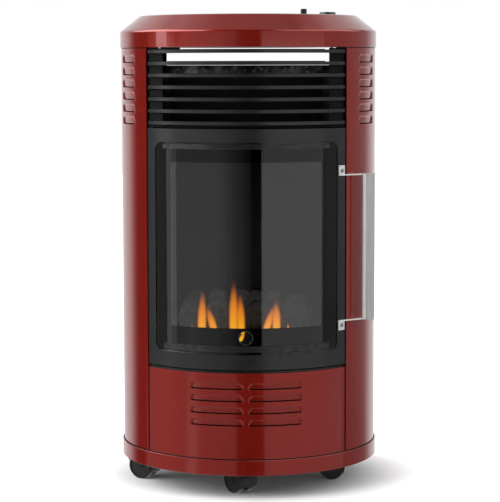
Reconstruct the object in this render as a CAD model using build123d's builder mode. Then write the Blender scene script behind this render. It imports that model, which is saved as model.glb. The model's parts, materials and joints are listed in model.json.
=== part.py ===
"""Round cabinet gas heater on five casters, with a glazed front door and a gas bottle bay behind.

Millimetres. The origin is on the floor under the middle of the round cabinet. The front faces -Y,
+X is to the right of someone who looks at the front, and +Z is up. Azimuths are in degrees from the
front, positive to the right, so the rear is at 180. Each piece is written as one STEP file.
"""

from build123d import *
from math import asin, atan2, cos, degrees, radians, sin
import os

os.makedirs("parts", exist_ok=True)

# --- cabinet, in plan -------------------------------------------------------------------------
body_radius = 218.3        # outer face of every curved panel
sheet = 1.2                # panel sheet
fit_gap = 0.3              # between pieces that must not touch
running = 0.05             # radial play of a shaft in its hole
rear_edge = 131.0          # azimuth where the side panels end
front_edge = 48.5          # azimuth where the door, the grille and the lower panel end
front_gap = 0.9            # azimuth of the open joint beside them

# --- cabinet, in height -----------------------------------------------------------------------
wheel_radius = 22.5
base_bottom = 40.0         # lower edge of the base ring
base_height = 26.0
seam = 1.5                 # shadow gap between the base ring and the panels
lower_panel_top = 210.0
door_bottom = 215.2
door_top = 609.0
panel_top = 740.2
cap_bottom = 741.7
cap_skirt = 27.3           # straight band of the cap
cap_slope = 26.6           # height of the sloping band above it
cap_inset = 34.0           # how far the sloping band leans in
cap_overhang = 1.7         # cap beyond the panels
ring_overhang = 2.7        # base ring beyond the panels

# --- chassis ----------------------------------------------------------------------------------
floor_sheet = 2.0
ring_sheet = 1.5
floor_under = 57.5         # underside of the floor plate
rim_height = 22.0          # upturned rim of the floor plate
post_gap = 1.3             # azimuth from a side panel's edge to its post
post_width = 6.0           # azimuth that a post covers
post_depth = 22.0          # how far a post's flange reaches in
rail_depth = 30.0

# --- louvres ----------------------------------------------------------------------------------
louvre_depth = 3.0         # pocket behind the panel sheet
louvre_slit = 1.8          # open height under a louvre
louvre_pitch = 20.5
side_louvre_first = 613.6
side_louvre_rows = 6
side_louvre_width = 66.0
side_louvre_height = 14.2
side_louvre_azimuth = 67.7
lower_louvre_first = 122.0
lower_louvre_rows = 4
lower_louvre_pitch = 20.2
lower_louvre_width = 90.6
lower_louvre_height = 11.5
lower_louvre_azimuth = 13.1

# --- grille -----------------------------------------------------------------------------------
slat_rows = 7
slat_first = 617.9         # middle of the lowest slat
slat_pitch = 19.45
slat_edge = 5.5            # height of a slat's front lip
slat_depth = 15.0
slat_sheet = 1.2
cheek_width = 8.8          # azimuth of the blind strip at each side of the grille

# --- door -------------------------------------------------------------------------------------
door_face = 1.8            # thickness of the door frame's face
door_return = 11.3         # depth of the door frame
glass_thick = 4.0
glass_set_in = 1.0         # glass face behind the frame's face
glass_edge = 43.6          # azimuth of the glass edge
glass_bottom = 240.9
glass_top = 586.3
glass_corner = 13.0
rebate_width = 11.0        # frame behind the glass edge
pivot_inset = 1.4          # azimuth from a door's hinged edge to its pivot
pivot_depth = 6.3          # hinge axis behind the door face
pivot_pin = 2.5
bush_wall = 1.0
sight_hole_height = 268.0
sight_hole_radius = 10.5
pilot_setback = 33.3       # pilot behind the body face

# --- handle -----------------------------------------------------------------------------------
handle_bottom = 287.9
handle_top = 532.3
handle_width = 21.0
handle_reach = 22.76       # middle of the grip beyond the body
handle_azimuth = 57.365
handle_sheet = 2.0
handle_roll = 3.0          # radius of the rolled inner edge
tab_height = 17.0
tab_width = 12.0

# --- firebox and burner -----------------------------------------------------------------------
firebox_side = 92.3        # side wall inside the body face, at the sides
firebox_setback = 102.3    # back wall behind the body face
firebox_bottom = 226.0
flange_setback = 13.1      # flange that the door seal meets, behind the body face
seal_size = 5.8
deflector_top = 711.5
burner_bottom = 244.0
burner_height = 20.0
burner_margin = 18.0       # from each burner end to the firebox wall
burner_depth = 46.0
burner_setback = 70.3      # middle of the burner behind the body face
grate_wire = 2.0
coal_radius = 17.5
injector_x = 60.0
injector_back = 20.0       # injector in front of the firebox's back
injector_radius = 6.0

# --- controls ---------------------------------------------------------------------------------
console_depth = 11.6
console_corner = 10.0
console_half_x = 41.0
console_half_y = 22.5
console_setback = 81.0     # middle of the console inside the body face
console_azimuth = 56.89
console_spacing = 20.0     # knob and button to each side of the console's middle
knob_radius = 14.3
knob_rise = 4.7            # above the flat of the cap
knob_travel = 3.0
button_radius = 5.2
button_rise = 10.4
button_height = 13.0
button_travel = 6.0
valve_radius = 14.0
inlet_setback = 58.3       # hose tail inside the body face
inlet_y = 50.0

# --- bottle bay -------------------------------------------------------------------------------
bottle_gap = 63.3          # largest bottle that the bay takes, inside the body face
bottle_y = 58.0
rear_door_top = 712.0
rear_louvre_rows = 5
rear_louvre_pitch = 24.0
rear_louvre_low = 60.0     # lowest louvre above the rear door's foot
rear_louvre_high = 160.0   # first of the upper louvres below the rear door's top

# --- casters ----------------------------------------------------------------------------------
caster_count = 5
caster_setback = 46.3      # stem circle inside the body face
caster_trail = 18.0
caster_headings = (130.0, 168.0, 200.0, 215.0, 152.0)
wheel_width = 13.0
wheel_web = 9.0            # between the two wheels
stem_radius = 4.0
axle_radius = 3.0

# --- small parts ------------------------------------------------------------------------------
pipe_radius = 4.0
pilot_pipe_radius = 2.0
lead_radius = 1.5
pipe_bend = 12.0
screw_radius = 2.0
screw_head = 3.6
screw_levels = (150.0, 420.0, 690.0)

# --- worked out -------------------------------------------------------------------------------
inner_radius = body_radius - sheet
ring_radius = body_radius + ring_overhang
ring_top = base_bottom + base_height
panel_bottom = ring_top + seam
floor_top = floor_under + floor_sheet
cap_radius = body_radius + cap_overhang
cap_crease = cap_bottom + cap_skirt
cap_top = cap_crease + cap_slope
rim_radius = cap_radius - cap_inset
console_floor = cap_top - console_depth
cap_under = cap_top - sheet
console_x = (body_radius - console_setback) * sin(radians(console_azimuth))
console_y = -(body_radius - console_setback) * cos(radians(console_azimuth))
button_x = console_x - console_spacing
knob_x = console_x + console_spacing
knob_top = cap_top + knob_rise
button_top = cap_top + button_rise
caster_circle = body_radius - caster_setback
bottle_radius = body_radius - bottle_gap
inlet_x = body_radius - inlet_setback
side_start = front_edge + front_gap
post_start = side_start + post_gap
post_end = post_start + post_width
rear_post_end = rear_edge - post_gap
rear_post_start = rear_post_end - post_width
pivot_radius = body_radius - pivot_depth
pivot_azimuth = front_edge - pivot_inset
glass_outer = body_radius - glass_set_in
glass_inner = glass_outer - glass_thick
rebate_radius = glass_inner - 0.1
door_back = body_radius - door_return
burner_top = burner_bottom + burner_height
grate_level = burner_top + 2 * grate_wire
firebox_flange = body_radius - flange_setback
firebox_half = body_radius - firebox_side
firebox_back = firebox_setback - body_radius
burner_half = firebox_half - burner_margin
burner_y = burner_setback - body_radius
pilot_y = pilot_setback - body_radius
injector_y = firebox_back - injector_back
handle_x = (body_radius + handle_reach) * sin(radians(handle_azimuth))
handle_y = -(body_radius + handle_reach) * cos(radians(handle_azimuth))
slat_radius = body_radius - 0.7


def at(radius, azimuth):
    """Plan point at a radius and an azimuth."""
    return (radius * sin(radians(azimuth)), -radius * cos(radians(azimuth)))


def radial_plane(azimuth):
    """Upright plane through the middle: local x points out at the azimuth, local y points up."""
    outward = Vector(*at(1, azimuth), 0)
    return Plane(origin=(0, 0, 0), x_dir=outward, z_dir=outward.cross(Vector(0, 0, 1)))


def facing_plane(radius, azimuth, height):
    """Upright plane that faces outward: local x runs to the right seen from outside, y is up."""
    outward = Vector(*at(1, azimuth), 0)
    return Plane(origin=(*at(radius, azimuth), height),
                 x_dir=Vector(0, 0, 1).cross(outward), z_dir=outward)


def sector(outer, inner, start, end):
    """Plan of a curved sheet between two radii and two azimuths."""
    with BuildSketch() as plan:
        with BuildLine():
            outside = CenterArc((0, 0), outer, start - 90, end - start)
            inside = CenterArc((0, 0), inner, start - 90, end - start)
            Line(outside @ 0, inside @ 0)
            Line(outside @ 1, inside @ 1)
        make_face()
    return plan.sketch


def curved_wall(outer, inner, start, end, bottom, top):
    """Upright curved sheet."""
    with BuildPart() as wall:
        with BuildSketch(Plane.XY.offset(bottom)):
            add(sector(outer, inner, start, end))
        extrude(amount=top - bottom)
    return wall.part


def curved_pane(outer, inner, half_width, bottom, top, corner):
    """Curved pane with rounded corners, centred at the front."""
    span = degrees(asin(half_width / inner)) + 1
    with BuildPart() as prism:
        with BuildSketch(Plane.XZ):
            with Locations((0, (bottom + top) / 2)):
                RectangleRounded(2 * half_width, top - bottom, corner)
        extrude(amount=outer + 1)
    with BuildPart() as pane:
        add(curved_wall(outer, inner, -span, span, bottom, top))
        add(prism.part, mode=Mode.INTERSECT)
    return pane.part


def turned(profile, start, end):
    """Solid turned about the middle between two azimuths, from (radius, height) points."""
    with BuildPart() as ring:
        with BuildSketch(radial_plane(start)):
            with BuildLine():
                Polyline(*profile, close=True)
            make_face()
        revolve(axis=Axis.Z, revolution_arc=end - start)
    return ring.part


def tube(points, radius, bend=pipe_bend):
    """Bent pipe or lead: straight runs joined by tangent arcs."""
    with BuildPart() as pipe:
        with BuildLine() as route:
            FilletPolyline(*points, radius=bend)
        with BuildSketch(Plane(origin=route.line @ 0, z_dir=route.line % 0)):
            Circle(radius)
        sweep()
    return pipe.part


def finish(piece, name):
    """Name a piece and write its file."""
    piece.label = name
    export_step(piece, "parts/" + name + ".step")


# --- louvre -----------------------------------------------------------------------------------
def louvre_prism(half, foot, top, corner):
    """Radial block behind a louvre's outline, which has round upper corners."""
    with BuildPart() as prism:
        with BuildSketch(Plane.XZ):
            with BuildLine():
                Polyline((-half, top - corner), (-half, foot), (half, foot), (half, top - corner))
                RadiusArc((half, top - corner), (half - corner, top), -corner)
                Line((half - corner, top), (corner - half, top))
                RadiusArc((corner - half, top), (-half, top - corner), -corner)
            make_face()
        extrude(amount=body_radius + 5)
    return prism.part


def louvre(width, height):
    """Window and pressed-in pocket of one louvre, at the front with its lower edge at height 0."""
    corner = height * 0.75
    window = louvre_prism(width / 2, 0, height, corner)
    mouth = louvre_prism(width / 2 - sheet, -sheet, height - sheet, corner - sheet)
    span = degrees(asin(width / 2 / inner_radius)) + 2
    floor = body_radius - louvre_depth
    with BuildPart() as pocket:
        add(curved_wall(body_radius, floor - sheet, -span, span, louvre_slit, height))
        add(window, mode=Mode.INTERSECT)
        hollow = curved_wall(body_radius + 2, floor, -span - 1, span + 1, 0, height)
        add(hollow & mouth, mode=Mode.SUBTRACT)
    return window, pocket.part


def drillings(places):
    """Radial holes for the screws at (radius, azimuth, height) places."""
    with BuildPart() as drills:
        for radius, azimuth, height in places:
            with BuildSketch(facing_plane(radius + 2, azimuth, height)):
                Circle(screw_radius + running)
            extrude(amount=-12)
    return drills.part


# === base and chassis =========================================================================
ring_inner = ring_radius - ring_sheet
with BuildPart() as base_ring:
    add(turned([(ring_inner, base_bottom), (ring_radius, base_bottom), (ring_radius, ring_top),
                (ring_inner, ring_top)], 0, 360))
    outer_edges = base_ring.edges().filter_by(GeomType.CIRCLE)
    fillet(outer_edges.filter_by(lambda e: e.radius > ring_inner + 0.1), ring_sheet * 0.4)
finish(base_ring.part, "base_ring")

rim_outer = inner_radius - running
with BuildPart() as floor_plate:
    with BuildSketch(Plane.XY.offset(floor_under)):
        Circle(ring_inner - running)
        with PolarLocations(caster_circle, caster_count, start_angle=-90):
            Circle(stem_radius + running, mode=Mode.SUBTRACT)
        with PolarLocations(70, 6):
            SlotOverall(50, 8, mode=Mode.SUBTRACT)
    extrude(amount=floor_sheet)
    with BuildSketch(Plane.XY.offset(floor_top)):
        with Locations((0, bottle_y)):
            Circle(bottle_radius - 8)
            Circle(bottle_radius - 12, mode=Mode.SUBTRACT)
            with PolarLocations(0, 6, start_angle=30):
                Rectangle(2 * bottle_radius, 40, mode=Mode.SUBTRACT, align=(Align.MIN, Align.CENTER))
    extrude(amount=3)
finish(floor_plate.part, "floor_plate")

with BuildPart() as panel_rim:
    add(curved_wall(rim_outer, rim_outer - sheet, -rear_edge, rear_edge, floor_top, floor_top + rim_height))
finish(panel_rim.part, "panel_rim")

post_foot = floor_top
post_inner = inner_radius - running - sheet - fit_gap


def corner_post(start, end, flange_azimuth):
    """Upright angle post behind a panel edge, with its flange at one azimuth."""
    flange_half = degrees(sheet / 2 / inner_radius)
    with BuildPart() as post:
        add(curved_wall(post_inner, post_inner - sheet, start, end, post_foot, cap_bottom))
        add(curved_wall(post_inner, post_inner - post_depth, flange_azimuth - flange_half,
                        flange_azimuth + flange_half, post_foot, cap_bottom))
    return post.part


flange_margin = degrees(sheet / 2 / inner_radius)
screw_azimuth = (rear_post_start + rear_post_end) / 2
screw_places = [(body_radius, side * screw_azimuth, level) for side in (-1, 1) for level in screw_levels]
screw_holes = drillings(screw_places)
with BuildPart() as corner_posts:
    add(corner_post(post_start, post_end, post_start + flange_margin))
    add(corner_post(rear_post_start, rear_post_end, rear_post_end - flange_margin))
    mirror(about=Plane.YZ)
    add(screw_holes, mode=Mode.SUBTRACT)
finish(corner_posts.part, "corner_posts")

rail_sheet = 2.0
rail_drop = 8.0
rail_bottom = lower_panel_top + 0.8
with BuildPart() as lower_rail:
    add(curved_wall(inner_radius - 2, inner_radius - 2 - rail_depth, -post_start, post_start,
                    rail_bottom, rail_bottom + rail_sheet))
    add(curved_wall(inner_radius - 2, inner_radius - 2 - sheet, -front_edge + 1, front_edge - 1,
                    rail_bottom - rail_drop, rail_bottom + rail_sheet))
    pivot = at(pivot_radius, -pivot_azimuth)
    with BuildSketch(Plane.XY.offset(rail_bottom - 1)):
        with Locations(pivot):
            Circle(pivot_pin)
    extrude(amount=rail_sheet + 2, mode=Mode.SUBTRACT)
finish(lower_rail.part, "lower_rail")

# === outer panels =============================================================================
louvre_window, louvre_hood = louvre(side_louvre_width, side_louvre_height)
side_rows = [side_louvre_first + row * louvre_pitch for row in range(side_louvre_rows)]
with BuildPart() as right_side_panel:
    add(curved_wall(body_radius, inner_radius, side_start, rear_edge, panel_bottom, panel_top))
    for height in side_rows:
        with Locations(Location((0, 0, height), (0, 0, side_louvre_azimuth))):
            add(louvre_window, mode=Mode.SUBTRACT)
            add(louvre_hood)
    add(screw_holes, mode=Mode.SUBTRACT)
finish(right_side_panel.part, "right_side_panel")

with BuildPart() as left_side_panel:
    add(mirror(right_side_panel.part, about=Plane.YZ))
finish(left_side_panel.part, "left_side_panel")

louvre_window, louvre_hood = louvre(lower_louvre_width, lower_louvre_height)
with BuildPart() as lower_front_panel:
    add(curved_wall(body_radius, inner_radius, -front_edge, front_edge, panel_bottom, lower_panel_top))
    for row in range(lower_louvre_rows):
        for azimuth in (-lower_louvre_azimuth, lower_louvre_azimuth):
            with Locations(Location((0, 0, lower_louvre_first + row * lower_louvre_pitch), (0, 0, azimuth))):
                add(louvre_window, mode=Mode.SUBTRACT)
                add(louvre_hood)
finish(lower_front_panel.part, "lower_front_panel")

# === cap ======================================================================================
console = (console_x, console_y)
cap_inner = cap_radius - sheet
lip_reach = 8.0
notch_height = 2.1
collar_drop = 8.7
slope_angle = degrees(atan2(cap_slope, cap_inset))
slope_shift = sheet * (1 - cos(radians(slope_angle))) / sin(radians(slope_angle))
flat_shift = sheet * sin(radians(slope_angle / 2)) / cos(radians(slope_angle / 2))
with BuildPart() as top_cap:
    add(turned([(0, cap_top), (rim_radius, cap_top), (cap_radius, cap_crease), (cap_radius, cap_bottom),
                (cap_inner - lip_reach, cap_bottom), (cap_inner - lip_reach, cap_bottom + sheet),
                (cap_inner, cap_bottom + sheet), (cap_inner, cap_crease - slope_shift),
                (rim_radius - flat_shift, cap_top - sheet), (0, cap_top - sheet)], 0, 360))
    outer_edges = top_cap.edges().filter_by(GeomType.CIRCLE)
    fillet(outer_edges.filter_by(lambda e: abs(e.center().Z - cap_top) < 0.1), 6)
    outer_edges = top_cap.edges().filter_by(GeomType.CIRCLE)
    fillet(outer_edges.filter_by(lambda e: abs(e.center().Z - cap_crease) < 0.1), 4)
    add(curved_wall(cap_radius + 1, cap_inner - lip_reach - 1, rear_edge, 360 - rear_edge,
                    cap_bottom - 1, cap_bottom + notch_height), mode=Mode.SUBTRACT)
    for near, far in ((side_start, rear_edge), (-rear_edge, -side_start)):
        add(curved_wall(rim_outer, rim_outer - sheet, near, far, cap_bottom - collar_drop,
                        cap_bottom + sheet))
    with BuildSketch(Plane.XY.offset(cap_top - sheet - 1)):
        with Locations(console):
            RectangleRounded(2 * console_half_x, 2 * console_half_y, console_corner)
    extrude(amount=sheet + 2, mode=Mode.SUBTRACT)
finish(top_cap.part, "top_cap")

plate_thick = 1.5
panel_margin = 6.0
neck_radius = 6.0
collar_radius = 7.0
with BuildPart() as control_panel:
    with BuildSketch(Plane.XY.offset(console_floor)):
        with Locations(console):
            RectangleRounded(2 * (console_half_x + panel_margin), 2 * (console_half_y + panel_margin),
                             console_corner)
        with Locations((button_x, console_y)):
            Circle(collar_radius + running, mode=Mode.SUBTRACT)
        with Locations((knob_x, console_y)):
            Circle(neck_radius + running, mode=Mode.SUBTRACT)
    extrude(amount=plate_thick)
finish(control_panel.part, "control_panel")

# === grille ===================================================================================
cheek_outer = slat_radius - 3.4
cheek_depth = 12.0
cheek_inner = cheek_outer - cheek_depth
cheek_start = front_edge - cheek_width
cheek_x, cheek_y = at(cheek_outer, cheek_start)
tab_reach = 9.7            # azimuth that the left cheek's tab covers
tab_drop = 4.7
grille_bottom = door_top + 2.0
grille_sheet = 2.0
frame_back = firebox_flange + fit_gap
with BuildPart() as grille_frame:
    add(curved_wall(inner_radius - 2, frame_back, -post_start, post_start, grille_bottom,
                    grille_bottom + grille_sheet))
    for side in (-1, 1):
        near, far = sorted((side * cheek_start, side * front_edge))
        add(curved_wall(cheek_outer, cheek_outer - sheet, near, far, grille_bottom, panel_top))
        with BuildSketch(Plane.XY.offset(grille_bottom)):
            with Locations((side * (cheek_x + sheet / 2), cheek_y + sheet)):
                Rectangle(sheet, cheek_depth, align=(Align.CENTER, Align.MIN))
        extrude(amount=panel_top - grille_bottom)
        edge = side * (front_edge - flange_margin)
        add(curved_wall(cheek_outer, cheek_inner, edge - flange_margin, edge + flange_margin,
                        grille_bottom, panel_top))
        near, far = sorted((side * (front_edge - flange_margin), side * post_start))
        add(curved_wall(cheek_inner + sheet, cheek_inner, near, far, grille_bottom, panel_top))
    add(curved_wall(cheek_outer, cheek_outer - sheet, -cheek_start - 1, tab_reach - cheek_start,
                    cap_bottom - tab_drop, cap_bottom - fit_gap))
    with BuildSketch(Plane.XY.offset(grille_bottom - 1)):
        with Locations(pivot):
            Circle(pivot_pin)
    extrude(amount=grille_sheet + 2, mode=Mode.SUBTRACT)
finish(grille_frame.part, "grille_frame")

slat_back = slat_radius - 3.0
slat_rise = 5.4


def slat(height):
    """One grille blade: a folded lip at the front, a blade behind it and solid ends over the cheeks."""
    low = height - slat_edge / 2
    high = height + slat_edge / 2
    lip = slat_radius - slat_sheet
    tail = slat_radius - slat_depth
    blade = [(slat_radius, low), (slat_radius, high), (slat_back, high), (slat_back, high - slat_sheet),
             (lip, high - slat_sheet), (lip, low + slat_sheet), (tail, low + slat_sheet + slat_rise),
             (tail, low + slat_rise), (lip, low)]
    end_block = [(slat_radius, low), (slat_radius, high), (cheek_outer, high), (cheek_outer, low)]
    with BuildPart() as body:
        add(turned(blade, -cheek_start + 0.2, cheek_start - 0.2))
        for side in (-1, 1):
            near, far = sorted((side * (cheek_start - 0.4), side * (front_edge - 0.2)))
            add(turned(end_block, near, far))
    return body.part


with BuildPart() as grille_slats:
    for row in range(slat_rows):
        add(slat(slat_first + row * slat_pitch))
finish(grille_slats.part, "grille_slats")

# === firebox ==================================================================================
firebox_top = grille_bottom
shell_sheet = 1.2
flange_edge = 46.0
glass_half = glass_outer * sin(radians(glass_edge))
ledge_half = glass_half - rebate_width
mouth_half = ledge_half - 7.0
mouth_bottom = glass_bottom + rebate_width + 1.0
mouth_top = glass_top - rebate_width - 1.0
wall_front = -(firebox_flange ** 2 - (firebox_half + shell_sheet) ** 2) ** 0.5 + shell_sheet
shelf_level = deflector_top - 13.0
lip_radius = slat_radius - slat_depth - 3.0
upper_front = -(lip_radius ** 2 - (firebox_half + shell_sheet) ** 2) ** 0.5
with BuildPart() as firebox_shell:
    add(curved_wall(firebox_flange, firebox_flange - shell_sheet, -flange_edge, flange_edge,
                    firebox_bottom, firebox_top))
    add(curved_pane(firebox_flange + 1, firebox_flange - shell_sheet - 1, mouth_half, mouth_bottom,
                    mouth_top, glass_corner), mode=Mode.SUBTRACT)
    with BuildSketch(Plane.XY.offset(firebox_bottom)):
        with Locations((firebox_half, firebox_back), (-firebox_half - shell_sheet, firebox_back)):
            Rectangle(shell_sheet, firebox_back - wall_front, align=(Align.MIN, Align.MAX))
    extrude(amount=firebox_top - firebox_bottom)
    with BuildSketch(Plane.XY.offset(firebox_top)):
        with Locations((firebox_half, firebox_back), (-firebox_half - shell_sheet, firebox_back)):
            Rectangle(shell_sheet, firebox_back - upper_front, align=(Align.MIN, Align.MAX))
    extrude(amount=shelf_level - firebox_top)
    with BuildSketch(Plane.XY.offset(firebox_bottom)):
        Circle(firebox_flange - shell_sheet)
        with Locations((0, firebox_back)):
            Rectangle(2 * firebox_half, body_radius, align=(Align.CENTER, Align.MAX), mode=Mode.INTERSECT)
        with Locations((injector_x, injector_y)):
            Circle(injector_radius, mode=Mode.SUBTRACT)
        with Locations((0, pilot_y)):
            SlotOverall(50, 12, mode=Mode.SUBTRACT)
    extrude(amount=shell_sheet)
finish(firebox_shell.part, "firebox_shell")

back_thick = 3.0
slope_drop = 40.0
slope_reach = 34.0
slope_foot = shelf_level - slope_drop
with BuildPart() as firebox_back_panel:
    with BuildSketch(Plane.XY.offset(firebox_bottom)):
        with Locations((0, firebox_back)):
            Rectangle(2 * (firebox_half + shell_sheet), back_thick, align=(Align.CENTER, Align.MIN))
    extrude(amount=shelf_level - firebox_bottom)
finish(firebox_back_panel.part, "firebox_back_panel")

with BuildPart() as heat_deflector:
    with BuildSketch(Plane.YZ.offset(-firebox_half)):
        with BuildLine():
            Polyline((firebox_back, slope_foot), (firebox_back - slope_reach, shelf_level),
                     (firebox_back - slope_reach, shelf_level + shell_sheet),
                     (firebox_back - shell_sheet, slope_foot + 2 * shell_sheet),
                     (firebox_back - shell_sheet, shelf_level), (firebox_back, shelf_level), close=True)
        make_face()
    extrude(amount=2 * firebox_half)
    with BuildSketch(Plane.XY.offset(shelf_level)):
        Circle(lip_radius)
        with Locations((0, firebox_back - slope_reach + 1)):
            Rectangle(2 * firebox_half, body_radius, align=(Align.CENTER, Align.MAX), mode=Mode.INTERSECT)
    extrude(amount=shell_sheet)
    lip_half = degrees(asin(firebox_half / lip_radius))
    add(curved_wall(lip_radius, lip_radius - shell_sheet, -lip_half, lip_half, shelf_level, deflector_top))
finish(heat_deflector.part, "heat_deflector")

shield_gap = 6.0
shield_front = firebox_back + back_thick + shield_gap
shield_half = (post_inner ** 2 - shield_front ** 2) ** 0.5 - 6
with BuildPart() as heat_shield:
    with BuildSketch(Plane.XY.offset(floor_top)):
        with Locations((0, shield_front)):
            Rectangle(2 * shield_half, shell_sheet, align=(Align.CENTER, Align.MIN))
    extrude(amount=deflector_top - 8 - floor_top)
    with BuildSketch(Plane.XY.offset(floor_top)):
        with Locations((0, shield_front)):
            Rectangle(2 * shield_half - 20, 8, align=(Align.CENTER, Align.MIN))
    extrude(amount=shell_sheet)
finish(heat_shield.part, "heat_shield")

spacer_x = firebox_half - 14.0
foot_x = 80.0
foot_y = firebox_back - 64.0
with BuildPart() as firebox_brackets:
    with BuildSketch(Plane.XY.offset(firebox_bottom + 30)):
        with Locations((spacer_x, shield_front), (-spacer_x, shield_front)):
            Rectangle(14, shield_gap, align=(Align.CENTER, Align.MAX))
    extrude(amount=shelf_level - firebox_bottom - 60)
    with BuildSketch(Plane.XY.offset(rail_bottom + rail_sheet)):
        with Locations((foot_x, foot_y), (-foot_x, foot_y)):
            Rectangle(16, 8)
    extrude(amount=firebox_bottom - rail_bottom - rail_sheet)
finish(firebox_brackets.part, "firebox_brackets")

# === burner, coals and ignition ===============================================================
burner_sheet = 1.5
mixer_radius = 9.0
burner_foot = firebox_bottom + shell_sheet
with BuildPart() as burner:
    with BuildSketch(Plane.XY.offset(burner_bottom)):
        with Locations((0, burner_y)):
            RectangleRounded(2 * burner_half, burner_depth, 6)
    extrude(amount=burner_height)
    with BuildSketch(Plane.XY.offset(burner_bottom + burner_sheet)):
        with Locations((0, burner_y)):
            RectangleRounded(2 * (burner_half - burner_sheet), burner_depth - 2 * burner_sheet, 5)
    extrude(amount=burner_height - 2 * burner_sheet, mode=Mode.SUBTRACT)
    with BuildSketch(Plane.XY.offset(burner_top - burner_sheet - 1)):
        with Locations((0, burner_y)):
            with GridLocations(12, 16, 15, 2):
                SlotOverall(10, 2.4, rotation=90)
    extrude(amount=burner_sheet + 2, mode=Mode.SUBTRACT)
    with BuildSketch(Plane.XY.offset(burner_foot)):
        with Locations((0, burner_y)):
            with GridLocations(2 * burner_half - 24, burner_depth - 12, 2, 2):
                Rectangle(8, 3)
    extrude(amount=burner_bottom - burner_foot)
    with BuildSketch(Plane.XY.offset(burner_bottom - 7)):
        with Locations((injector_x, injector_y)):
            Circle(mixer_radius + burner_sheet)
    extrude(amount=7)
    with BuildSketch(Plane.XY.offset(burner_bottom - 8)):
        with Locations((injector_x, injector_y)):
            Circle(mixer_radius)
    extrude(amount=8 + burner_sheet + 1, mode=Mode.SUBTRACT)
finish(burner.part, "burner")

injector_foot = firebox_bottom - 12.0
with BuildPart() as injector:
    with BuildSketch(Plane.XY.offset(injector_foot)):
        with Locations((injector_x, injector_y)):
            Circle(injector_radius)
    extrude(amount=18)
    with BuildSketch(Plane.XY.offset(injector_foot + 2)):
        with Locations((injector_x, injector_y)):
            RegularPolygon(injector_radius + 2.5, 6)
    extrude(amount=firebox_bottom - injector_foot - 2)
    with BuildSketch(Plane.XY.offset(injector_foot + 3)):
        with Locations((injector_x, injector_y)):
            Circle(1.0)
    extrude(amount=20, mode=Mode.SUBTRACT)
finish(injector.part, "injector")

bar_count = 12
grate_depth = 2 * (firebox_back - burner_y) - 2
back_row_y = firebox_back - coal_radius - 2.5
front_row_y = back_row_y - 29.0
grate_bars = [2 * (burner_half - 6) * (index / (bar_count - 1) - 0.5) for index in range(bar_count)]
with BuildPart() as coal_grate:
    with BuildSketch(Plane.XY.offset(burner_top)):
        with Locations((0, burner_y)):
            RectangleRounded(2 * burner_half, grate_depth, 8)
            RectangleRounded(2 * burner_half - 12, grate_depth - 12, 6, mode=Mode.SUBTRACT)
        with Locations(*[(x, burner_y) for x in grate_bars]):
            Rectangle(3, grate_depth - 2)
    extrude(amount=2 * grate_wire)
finish(coal_grate.part, "coal_grate")

back_row = [(-96, 54), (-60, 55), (-25, 58), (13, 56), (50, 57), (86, 54)]
front_row = [(-78, 46), (-40, 49), (-2, 47), (38, 49), (73, 47)]
with BuildPart() as coal_bed:
    for x, height in back_row:
        with Locations((x, back_row_y, grate_level + height)):
            Sphere(coal_radius)
        with BuildSketch(Plane.XY.offset(grate_level)):
            with Locations((x, back_row_y)):
                Circle(coal_radius * 0.86)
        extrude(amount=height)
    for x, height in front_row:
        with Locations((x, front_row_y, grate_level + height - 9)):
            Sphere(coal_radius - 1.5)
        with BuildSketch(Plane.XY.offset(grate_level)):
            with Locations((x, front_row_y)):
                Circle((coal_radius - 1.5) * 0.86)
        extrude(amount=height - 9)
finish(coal_bed.part, "coal_bed")

# === pilot ====================================================================================
pilot_height = sight_hole_height - 4.0
pilot_pitch = 15.0
bracket_sheet = 1.5
bracket_level = burner_bottom + 8.0
with BuildPart() as pilot_bracket:
    with BuildSketch(Plane.XY.offset(bracket_level)):
        with Locations((0, pilot_y)):
            Rectangle(2 * pilot_pitch + 12, 10)
            Circle(4, mode=Mode.SUBTRACT)
            with Locations((pilot_pitch, 0), (-pilot_pitch, 0)):
                Circle(2.6, mode=Mode.SUBTRACT)
    extrude(amount=bracket_sheet)
    with BuildSketch(Plane.XY.offset(bracket_level)):
        with Locations((0, burner_y - burner_depth / 2)):
            Rectangle(24, burner_y - burner_depth / 2 - pilot_y - 5, align=(Align.CENTER, Align.MAX))
    extrude(amount=bracket_sheet)
finish(pilot_bracket.part, "pilot_bracket")

with BuildPart() as pilot_burner:
    with BuildSketch(Plane.XY.offset(bracket_level - 12)):
        with Locations((0, pilot_y)):
            Circle(4)
    extrude(amount=pilot_height - bracket_level + 12)
    with BuildSketch(Plane.XY.offset(pilot_height)):
        with Locations((0, pilot_y)):
            Circle(5)
    extrude(amount=6)
    with BuildSketch(Plane.XY.offset(pilot_height + 1)):
        with Locations((0, pilot_y)):
            Circle(3.5)
            Rectangle(3, 12)
    extrude(amount=6, mode=Mode.SUBTRACT)
finish(pilot_burner.part, "pilot_burner")

drop_y = firebox_back + 4.0
lead_drop = (firebox_half + 15.5, drop_y - 2)
sensor_drop = (firebox_half + 23.5, drop_y - 1)
pilot_drop = (firebox_half + 31.0, drop_y)
burner_drop = (firebox_half + 40.0, drop_y)
valve_low = cap_bottom + 12.0
boss_level = valve_low + 12.0
lead_run = firebox_bottom - 2.0
sensor_run = firebox_bottom - 5.5
pilot_run = firebox_bottom - 9.5
burner_run = injector_foot - 8.0
valve = (knob_x, console_y)
boss_end = valve_radius + 6.0

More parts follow.
